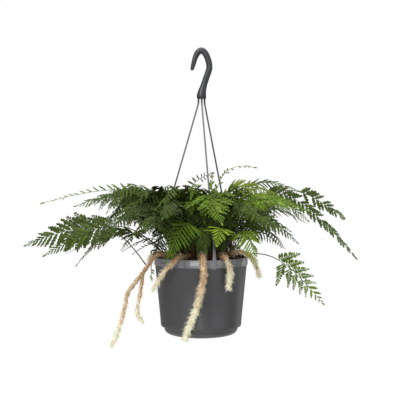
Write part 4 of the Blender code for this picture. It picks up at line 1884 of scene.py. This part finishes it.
@dataclass(frozen=True)
class Crozier:
    """A young frond still coiled at its tip, on a short scaly stalk.

    Args:
        root: (x, y, height above the rim) of its foot.
        coil: the same for the middle of its coil.
        turn: 1 when it coils to the right, -1 to the left.
        size: radius of the coil, in millimetres.
    """

    COIL_STEPS = 15

    root: Triple
    coil: Triple
    turn: float
    size: float = 4.2

    def mesh(self, site: Site) -> Mesh:
        """The stalk and its coil as one tapering rod.

        Args:
            site: where its points lie.

        Returns:
            The mesh.
        """
        root, middle = site.point(*self.root), site.point(*self.coil)
        foot = middle - Vector((self.turn * self.size * MM, 0, 0))
        rise = [root.lerp(foot, share) + Vector((0, 0, -0.4 * MM)) for share in (0.0, 0.5)]
        for step in range(self.COIL_STEPS):
            angle = math.pi - step * math.pi / 6
            reach = self.size * (1 - 0.045 * step) * MM
            out = Vector((self.turn * math.cos(angle), 0.03 * step, math.sin(angle)))
            rise.append(middle + out * reach)
        spine = Spine(smooth_path(rise, 4))
        thick = np.interp(np.linspace(0, 1, 60), [0, 0.3, 0.9, 1], [1.0, 1.3, 1.0, 0.6]) * MM
        return swept("crozier", spine, thick, thick, 8)


CROZIERS = (
    Crozier((-52, -10, 3.6), (-71, -12, 6.5), -1.0, 4.4),
    Crozier((-30, -40, 3.4), (-39, -49, 12.0), -1.0, 3.0),
    Crozier((44, -16, 4.4), (52, -22, 16.0), 1.0, 3.2),
    Crozier((24, 40, 4.0), (30, 50, 15.0), 1.0, 3.4),
)


@dataclass(frozen=True)
class Frond:
    """One frond: a stalk that arches out and a triangular blade of divided pinnae.

    KNEE_PULL is how strongly the knee draws the stalk, and PAIRS the fewest and most pinna pairs.

    Args:
        name: which packed frond it is.
        root: (x, y) on the mix, or (x, y, height above the rim) on a rhizome.
        knee: the point that it first climbs towards.
        tip: where its blade ends.
        half_width: half the blade's width, in millimetres.
        roll: turn of the blade about its midrib, in degrees.
        stalk: share of its length that is bare.
        leaf: its green.
        form: how it is divided.
        tint: how much lighter it is than others of its green.
        droop: how far its pinnae hang below the blade, in degrees.
        fullness: length of its longest pinnae as a share of the half width.
        spread: angle between the midrib and its first pinnae, in degrees.
        packed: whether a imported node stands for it.
    """

    KNEE_PULL = 1.8
    SPINE_STEPS = 90
    STALK_STEPS = 46
    PAIRS = (6, 30)

    name: str
    root: tuple[float, ...]
    knee: Triple
    tip: Triple
    half_width: float
    roll: float
    stalk: float
    leaf: Leaf = Leaf.DARK
    form: Form = Form.LANCE
    tint: float = 0.0
    droop: float = 10.0
    fullness: float = 1.3
    spread: float = 64.0
    packed: bool = True

    def build(self, site: Site, foliage: Foliage, finishes: Finishes) -> None:
        """Builds the frond.

        Args:
            site: where its points lie.
            foliage: the pinnae that it is made from.
            finishes: the leaf and stalk materials by name.
        """
        bright = self.leaf is not Leaf.DARK
        add_piece(
            f"frond_{self.name}_leaves", self.mesh(site, foliage),
            [finishes[self.leaf.value], finishes["stalk_bright" if bright else "stalk_dark"]],
            (f"frond_{self.name}",) if self.packed else (), sharp=LEAF_SHARP,
        )

    def mesh(self, site: Site, foliage: Foliage) -> Mesh:
        """The frond's leaves and, as material 1, its stalk.

        Args:
            site: where its points lie.
            foliage: the pinnae that it is made from.

        Returns:
            The mesh.
        """
        seed = sum(ord(letter) * number for number, letter in enumerate(self.name, 1))
        rng = np.random.default_rng(seed)
        root = site.point(*self.root) if len(self.root) == 3 else site.on_mix(*self.root)
        knee, tip = site.point(*self.knee), site.point(*self.tip)
        flat = (knee - root).cross(tip - knee).normalized()
        spine = Spine(arch(root, knee, tip, self.KNEE_PULL, self.SPINE_STEPS), flat, self.roll)
        leaves = self._blade(spine, foliage, rng)
        place(leaves, spine.carry(positions(leaves)))
        face_outward(leaves)
        even = np.linspace(0.0, 1.0, self.STALK_STEPS)
        along = [0.0, 0.05, self.stalk, self.stalk + 0.1, 1.0]
        thick = np.interp(even, along, [1.15, 0.85, 0.7, 0.5, 0.25]) * MM
        stalk = swept("stalk", spine, thick, thick * 0.9, 6)
        for face in stalk.polygons:
            face.material_index = 1
        return joined("frond", [leaves, stalk])

    def _blade(self, spine: Spine, foliage: Foliage, rng: Draws) -> Mesh:
        """The pinnae, laid out straight along x before the blade is bent along its midrib.

        Args:
            spine: the whole frond's midrib.
            foliage: the pinnae that it is made from.
            rng: its random draws.

        Returns:
            The mesh.
        """
        start = self.stalk * spine.length
        blade = spine.length - start
        half = self.half_width * self.fullness * MM
        cut = self.form.value
        pairs = int(np.clip(round(blade / (cut.close * half + cut.apart * MM)), *self.PAIRS))
        total = 2 * pairs
        number = np.arange(total)
        side = np.where(number % 2 == 0, 1.0, -1.0)
        share = 1 - (1 - (number + 0.4) / total) ** 1.3
        reach = half * ((1 - share) ** cut.taper) * rng.uniform(0.88, 1.1, total) + 2.5 * MM
        origins = np.zeros((total, 3))
        origins[:, 0] = start + blade * share * 0.97
        yaw = side * np.radians(self.spread * (1 - 0.45 * share) + rng.normal(0, 3.5, total))
        pitch = np.radians(rng.normal(-self.droop, 7, total))
        roll = np.radians(rng.normal(0, 9, total))
        shades = self.tint + rng.uniform(-0.24, 0.24, total)
        scales = np.stack([reach] * 3, axis=1)
        meshes = []
        limits = np.array(foliage.LENGTHS) * MM
        size = np.array(foliage.SIZES)[np.searchsorted(limits, reach)]
        # A size of 0 is a single leaflet, and -1 a pinna that is missing.
        size[reach < cut.least * MM] = 0
        lower = side < 0 if self.roll >= 0 else side > 0
        size[lower & (rng.uniform(0, 1, total) > cut.second)] = -1
        size[rng.uniform(0, 1, total) > cut.kept] = -1
        kind = rng.integers(0, foliage.KINDS, total)
        family = foliage.pinnae[Form.OPEN if self.form is Form.OPEN else Form.FULL]
        for pairs_in in foliage.SIZES:
            for chosen_kind, template in enumerate(family[pairs_in]):
                chosen = (size == pairs_in) & (kind == chosen_kind)
                if chosen.any():
                    turns = (yaw[chosen], pitch[chosen], roll[chosen])
                    stack = turned_frames(origins[chosen], *turns, scales[chosen])
                    pinnae = repeated("pinnae", template, stack, shades[chosen], share[chosen])
                    meshes.append(pinnae)
        single = size == 0
        if single.any():
            thin = scales[single] * np.array([[1.0, cut.single, 0.03]])
            stack = turned_frames(origins[single], yaw[single], pitch[single], roll[single], thin)
            plain = foliage.long_leaflet
            meshes.append(repeated("pinnae", plain, stack, shades[single], share[single]))
        end = turned_frames(
            np.array([[spine.length * 0.985, 0.0, 0.0]]), np.zeros(1), np.zeros(1), np.zeros(1),
            np.array([[0.05 * blade, 1.4 * MM, 0.3 * MM]]),
        )
        meshes.append(repeated("pinnae", foliage.leaflet, end, np.array([self.tint]), np.ones(1)))
        return joined("blade", meshes)


FRONDS = (
    Frond("left_top", (-38, 12), (-75, 14, 125), (-240, 8, 80), 20, -74, 0.42, Leaf.BRIGHT,
          form=Form.WISPY, tint=-0.25, fullness=0.9, spread=48.0),
    Frond("left_upper", (-30, -6), (-62, -22, 118), (-182, -38, 76), 34, -35, 0.4,
          form=Form.FINE, tint=-0.05, fullness=1.4, spread=54.0),
    Frond("left_big", (-81, -30, -9), (-134, -30, 68), (-258, -26, 18), 34, -62, 0.48,
          tint=-0.05, fullness=1.25, spread=50.0),
    Frond("left_mid", (-48, -12), (-112, -50, 72), (-222, -62, 6), 28, -62, 0.46,
          tint=0.05, spread=50.0),
    Frond("left_low", (-48, -4), (-128, 0, 66), (-187, 0, -13), 22, -40, 0.36,
          fullness=1.0, spread=38.0),
    Frond("left_thin", (-44, 16), (-112, 42, 54), (-209, 46, 2), 18, -25, 0.38,
          fullness=0.9, spread=34.0),
    Frond("left_small", (-50, 13), (-68, 6, 40), (-118, 4, 8), 11, -20, 0.4,
          fullness=0.9, spread=30.0),
    Frond("left_tiny", (-52, -8), (-64, -14, 30), (-101, -18, 5), 7, -30, 0.4,
          form=Form.SIMPLE, fullness=1.2),
    Frond("front_left_upper", (-20, -14), (-56, -52, 110), (-122, -120, 44), 34, -25, 0.4,
          form=Form.FINE, tint=-0.45, droop=24.0),
    Frond("front_left_lower", (-28, -34), (-50, -90, 84), (-90, -142, 38), 26, -10, 0.45,
          form=Form.FINE, tint=-0.3, droop=24.0),
    Frond("front_left_hanging", (-10, -38), (-12, -104, 84), (-48, -104, 0), 26, 0, 0.46,
          leaf=Leaf.BRIGHT, form=Form.DENSE, tint=-0.5, fullness=1.25, spread=72.0),
    Frond("front_dark", (-4, -44), (-2, -102, 70), (8, -96, 14), 24, 0, 0.45,
          form=Form.DENSE, droop=24.0, fullness=1.5),
    Frond("front_broad", (2, -18), (2, -70, 126), (26, -176, 55), 44, 4, 0.34, Leaf.BRIGHT,
          form=Form.FINE, tint=-0.38, droop=5.0, fullness=1.2, spread=74.0),
    Frond("front_lime", (20, -36), (30, -126, 66), (20, -134, 24), 16, 0, 0.6, Leaf.BRIGHT,
          form=Form.DENSE, tint=0.95, droop=6.0, fullness=1.45, spread=72.0),
    Frond("front_right_long", (14, -16), (52, -50, 108), (148, -74, 70), 26, 30, 0.36, Leaf.BRIGHT,
          form=Form.FINE, tint=-0.2, droop=8.0, fullness=1.35, spread=54.0),
    Frond("front_right_dark", (26, -24), (62, -60, 76), (110, -92, 42), 30, 45, 0.36,
          form=Form.FINE, droop=24.0, fullness=1.4),
    Frond("front_right_hanging", (38, -40), (60, -95, 69), (76, -94, -8), 28, 0, 0.4, Leaf.BRIGHT,
          form=Form.DENSE, tint=0.2, fullness=1.2, spread=60.0),
    Frond("right_dark", (40, 6), (88, 10, 78), (146, 6, 20), 28, 50, 0.36,
          fullness=1.1, spread=54.0),
    Frond("right_thin", (44, -14), (84, -16, 54), (119, -16, 15), 18, 30, 0.4,
          droop=24.0, fullness=1.2, spread=50.0),
    Frond("right_feathery", (34, -4), (92, -6, 112), (158, -20, 54), 26, 50, 0.42,
          form=Form.FINE, droop=8.0, fullness=1.35),
    Frond("right_long", (28, 22), (108, 34, 149), (238, 26, -4), 18, 75, 0.4,
          form=Form.SPACED, droop=4.0, fullness=1.0, spread=44.0),
    Frond("right_long_upper", (22, 32), (122, 52, 138), (227, 50, 54), 16, 70, 0.68,
          form=Form.SPACED, droop=4.0, fullness=1.2, spread=50.0),
    Frond("right_top", (20, 14), (62, 14, 132), (149, 6, 98), 15, 50, 0.4,
          droop=8.0, fullness=1.6, spread=50.0),
    Frond("right_olive", (10, 4), (38, -4, 130), (122, -20, 86), 18, 45, 0.36, Leaf.OLIVE,
          form=Form.DENSE, droop=14.0, fullness=2.1, spread=52.0),
    Frond("right_hanging", (46, 3), (110, -6, 16), (181, -16, -69), 34, 75, 0.42, Leaf.BRIGHT,
          form=Form.OPEN, tint=-0.18, fullness=1.1, spread=58.0),
    Frond("top_sparse", (6, 12), (24, 16, 146), (83, 12, 134), 6, 70, 0.45, Leaf.OLIVE,
          form=Form.SPARSE, tint=-0.4, fullness=1.2),
    Frond("top_young", (-16, 10), (-30, 10, 112), (20, 8, 126), 11, 80, 0.66,
          form=Form.SIMPLE, tint=-0.2, fullness=1.15, spread=110.0),
    Frond("top_bright", (6, -6), (16, -12, 76), (17, -10, 126), 8, -44, 0.66, Leaf.BRIGHT,
          form=Form.TUFT, fullness=1.2, spread=58.0),
    Frond("left_pale", (-66, -4, 6.0), (-76, -8, -4), (-73, -8, -36), 4.5, 75, 0.56, Leaf.BRIGHT,
          form=Form.TUFT, tint=0.9, fullness=1.1, packed=False),
    Frond("left_inner", (-24, -18), (-50, -38, 92), (-130, -84, 52), 30, -30, 0.42,
          form=Form.FINE, tint=-0.25, droop=24.0),
    Frond("front_left_inner", (-6, -26), (-30, -62, 110), (-50, -156, 60), 30, -10, 0.4,
          form=Form.FINE, tint=-0.35, droop=24.0),
    Frond("front_right_inner", (20, -28), (44, -76, 106), (84, -150, 52), 28, 10, 0.42,
          form=Form.FINE, droop=24.0),
    Frond("right_inner", (32, -14), (64, -34, 88), (128, -52, 40), 22, 25, 0.45, droop=24.0),
    Frond("back_top", (-4, 20), (-6, 66, 130), (-20, 156, 84), 30, 0, 0.4),
    Frond("back_right", (18, 26), (48, 84, 112), (112, 186, 56), 36, 10, 0.38),
    Frond("back", (14, 42), (16, 96, 110), (30, 214, 42), 38, 0, 0.38),
    Frond("back_left", (-8, 34), (-26, 92, 112), (-64, 204, 50), 38, 0, 0.38),
    Frond("back_far_left", (-34, 26), (-64, 78, 108), (-142, 160, 52), 34, -10, 0.38),
    Frond("left_back", (-34, 24), (-84, 52, 98), (-186, 100, 40), 30, -15, 0.4),
    Frond("right_back", (22, 42), (84, 58, 104), (176, 112, 46), 32, 15, 0.4),
    Frond("back_low", (16, 52), (26, 104, 66), (48, 158, -6), 26, 0, 0.45),
    Frond("back_left_low", (-22, 48), (-46, 98, 62), (-78, 146, -8), 26, 0, 0.45),
    Frond("back_right_low", (46, 34), (88, 76, 66), (140, 114, 4), 24, 10, 0.45),
    Frond("left_back_low", (-46, 30), (-88, 70, 60), (-132, 108, 2), 24, -10, 0.45),
)


@dataclass(frozen=True)
class Undergrowth:
    """Short young fronds between the stalks, gathered into one piece for each side of the pot.

    Each pair of values is a span that one frond's own value is drawn from.

    Args:
        name: start of its pieces' names.
        count: how many fronds.
        seed: start of its random draws.
        near: from the axis to a frond's foot.
        reach: from its foot to its tip, seen from above.
        rise: height of its knee above the rim, to which its foot's distance is added.
        fall: height of its tip above the rim.
        half: half its blade's width.
        bare: share of its length that is bare.
        heading: which way it goes from the axis, in degrees.
        leaf: its green.
        tone: how much lighter it is than others of its green.
    """

    name: str
    count: int
    seed: int
    near: Pair = (8.0, 42.0)
    reach: Pair = (24.0, 46.0)
    rise: Pair = (34.0, 78.0)
    fall: Pair = (0.0, 44.0)
    half: Pair = (13.0, 24.0)
    bare: float = 0.3
    heading: Pair = (0.0, 360.0)
    leaf: Leaf = Leaf.DARK
    tone: float = 0.0

    def build(self, site: Site, foliage: Foliage, finishes: Finishes) -> None:
        """Builds the short fronds.

        Args:
            site: where their points lie.
            foliage: the pinnae that they are made from.
            finishes: the leaf and stalk materials by name.
        """
        rng = np.random.default_rng(self.seed)
        sides = {"front": [], "right": [], "back": [], "left": []}
        for number in range(self.count):
            heading = math.radians(rng.uniform(*self.heading))
            near, reach = rng.uniform(*self.near), rng.uniform(*self.reach)
            rise, fall = rng.uniform(*self.rise), rng.uniform(*self.fall)
            ahead = np.array([math.cos(heading), math.sin(heading)])
            reach *= 1 - 0.35 * max(0.0, ahead[0])
            veer = np.array([-ahead[1], ahead[0]]) * rng.normal(0, 8)
            knee, tip = ahead * (near + 0.5 * reach) + veer, ahead * (near + reach) + veer
            frond = Frond(
                f"young_{number}", (*(ahead * near),), (*knee, near + rise), (*tip, fall),
                rng.uniform(*self.half), rng.uniform(-35, 35), self.bare,
                tint=self.tone + rng.uniform(-0.2, 0.15), droop=16.0,
            )
            quarter = int((heading + math.pi / 4) / (math.pi / 2)) % 4
            side = ("right", "back", "left", "front")[quarter]
            sides[side].append(frond.mesh(site, foliage))
        for side, meshes in sides.items():
            if meshes:
                add_piece(
                    f"{self.name}_{side}", joined(self.name, meshes),
                    [finishes[self.leaf.value], finishes["stalk_dark"]],
                    sharp=LEAF_SHARP,
                )


GROWTHS = (
    Undergrowth("undergrowth", 70, 23),
    Undergrowth(
        "inner_growth", 42, 41, reach=(50.0, 105.0), rise=(70.0, 112.0), fall=(40.0, 84.0),
        half=(18.0, 30.0), bare=0.35, heading=(45.0, 325.0),
    ),
    Undergrowth(
        "left_growth", 22, 61, reach=(66.0, 126.0), rise=(60.0, 112.0), fall=(28.0, 88.0),
        half=(18.0, 28.0), bare=0.4, heading=(152.0, 212.0),
    ),
    Undergrowth(
        "bright_growth", 14, 29, near=(4.0, 24.0), reach=(62.0, 104.0), rise=(84.0, 114.0),
        fall=(50.0, 92.0), half=(13.0, 22.0), bare=0.42, heading=(236.0, 346.0),
        leaf=Leaf.BRIGHT, tone=-0.42,
    ),
    Undergrowth(
        "bare_growth", 40, 83, near=(18.0, 48.0), reach=(12.0, 44.0), rise=(40.0, 74.0),
        fall=(24.0, 56.0), half=(6.0, 11.0), bare=0.78,
    ),
    Undergrowth(
        "low_growth", 44, 57, near=(14.0, 50.0), reach=(10.0, 26.0), rise=(14.0, 38.0),
        fall=(2.0, 18.0), half=(9.0, 15.0), bare=0.25, heading=(215.0, 500.0),
    ),
)


# ------------ studio

@dataclass(frozen=True)
class SoftBox:
    """A large soft light.

    Args:
        name: its name.
        place: where it stands, in metres.
        target: what it faces.
        size: (width, height) of its face, in metres.
        power: watts.
    """

    name: str
    place: Triple
    target: Triple
    size: Pair
    power: float

    def build(self) -> None:
        """Adds the light."""
        lamp = bpy.data.lights.new(self.name, "AREA")
        lamp.shape = "RECTANGLE"
        lamp.size, lamp.size_y = self.size
        lamp.energy = self.power
        thing = bpy.data.objects.new(self.name, lamp)
        thing.location = self.place
        facing = Vector(self.target) - Vector(self.place)
        thing.rotation_euler = facing.to_track_quat("-Z", "Y").to_euler()
        bpy.context.scene.collection.objects.link(thing)


@dataclass
class Studio:
    """The pale floor, the white surround, the lights and the camera.

    Args:
        floor_z: height of the floor, in metres.
        floor_radius: its radius, in metres.
        floor_colour: its colour.
        surround: strength of the light that the surround gives.
        lens: the camera's focal length, in millimetres.
        film: width of its film, in millimetres.
        camera_place: where it stands, in metres; it looks along y.
        lights: the soft lights.
    """

    floor_z: float = -1.3
    floor_radius: float = 2.4
    floor_colour: Colour = (0.86, 0.86, 0.86)
    surround: float = 0.48
    lens: float = 63.0
    film: float = 36.0
    camera_place: Triple = (-0.0015, -1.05, -0.21975)
    lights: tuple[SoftBox, ...] = (
        SoftBox("key", (-0.7, -1.5, 1.0), (0.0, 0.0, -0.25), (0.9, 0.9), 42.0),
        SoftBox("fill", (1.4, -1.1, 0.3), (0.0, 0.0, -0.3), (0.6, 1.4), 9.0),
        SoftBox("strip", (1.2, 0.85, -0.2), (0.0, 0.0, -0.35), (0.2, 1.3), 1.6),
        SoftBox("front", (-0.35, -1.4, -0.3), (0.0, 0.0, -0.32), (0.5, 0.5), 7.0),
        SoftBox("top", (0.2, 0.1, 1.2), (0.0, 0.0, -0.3), (1.2, 1.2), 26.0),
    )

    def build(self) -> None:
        """Builds the studio."""
        self._build_floor()
        for light in self.lights:
            light.build()
        self._build_surround()
        self._build_camera()
        bpy.context.scene.view_settings.view_transform = "Standard"

    def _build_floor(self) -> None:
        """Lays the floor."""
        bm = bmesh.new()
        bmesh.ops.create_circle(bm, cap_ends=True, segments=128, radius=self.floor_radius)
        bmesh.ops.translate(bm, vec=(0, 0, self.floor_z), verts=bm.verts)
        mesh = mesh_from(bm, "floor")
        mesh.materials.append(StudioFinish("floor", self.floor_colour).build())
        floor = bpy.data.objects.new("floor", mesh)
        bpy.context.scene.collection.objects.link(floor)

    def _build_surround(self) -> None:
        """Makes a surround that is white to the camera and gives a softer light."""
        world = bpy.data.worlds.new("studio")
        world.use_nodes = True
        tree = world.node_tree
        seen = tree.nodes["Background"]
        seen.inputs["Color"].default_value = (1, 1, 1, 1)
        lit = tree.nodes.new("ShaderNodeBackground")
        lit.inputs["Color"].default_value = (1, 1, 1, 1)
        lit.inputs["Strength"].default_value = self.surround
        choice = tree.nodes.new("ShaderNodeMixShader")
        path = tree.nodes.new("ShaderNodeLightPath")
        tree.links.new(path.outputs["Is Camera Ray"], choice.inputs[0])
        tree.links.new(lit.outputs[0], choice.inputs[1])
        tree.links.new(seen.outputs[0], choice.inputs[2])
        tree.links.new(choice.outputs[0], tree.nodes["World Output"].inputs["Surface"])
        bpy.context.scene.world = world

    def _build_camera(self) -> None:
        """Adds the camera."""
        camera = bpy.data.cameras.new("camera")
        camera.sensor_width = self.film
        camera.lens = self.lens
        thing = bpy.data.objects.new("camera", camera)
        thing.location = self.camera_place
        thing.rotation_euler = (math.pi / 2, 0.0, 0.0)
        bpy.context.scene.collection.objects.link(thing)
        bpy.context.scene.camera = thing


def main() -> None:
    """Builds every sub-assembly in order."""
    logging.basicConfig(level=logging.INFO, format="%(name)s %(message)s")
    Studio().build()
    pot = Pot()
    pot.build()
    Saucer(pot).build()
    Hanger(pot).build()
    site = Site(pot)
    PottingMix(site).build()
    fur = FUR_WITH_PAINTED_SHADE.build()
    for rhizome in RHIZOMES:
        rhizome.build(site, fur)
    foliage = Foliage(5)
    finishes = {leaf.value: finish.build() for leaf, finish in LEAF_FINISHES.items()}
    finishes["stalk_dark"] = STALK_DARK.build()
    finishes["stalk_bright"] = STALK_BRIGHT.build()
    for frond in FRONDS:
        frond.build(site, foliage, finishes)
    coils = joined("croziers", [crozier.mesh(site) for crozier in CROZIERS])
    add_piece("croziers", coils, [finishes["stalk_dark"]], sharp=60.0)
    for growth in GROWTHS:
        growth.build(site, foliage, finishes)
    shown = [piece for piece in bpy.data.objects if piece.type == "MESH" and not piece.hide_render]
    log.info("%d pieces, %d faces", len(shown), sum(len(piece.data.polygons) for piece in shown))


if __name__ == "__main__":
    main()
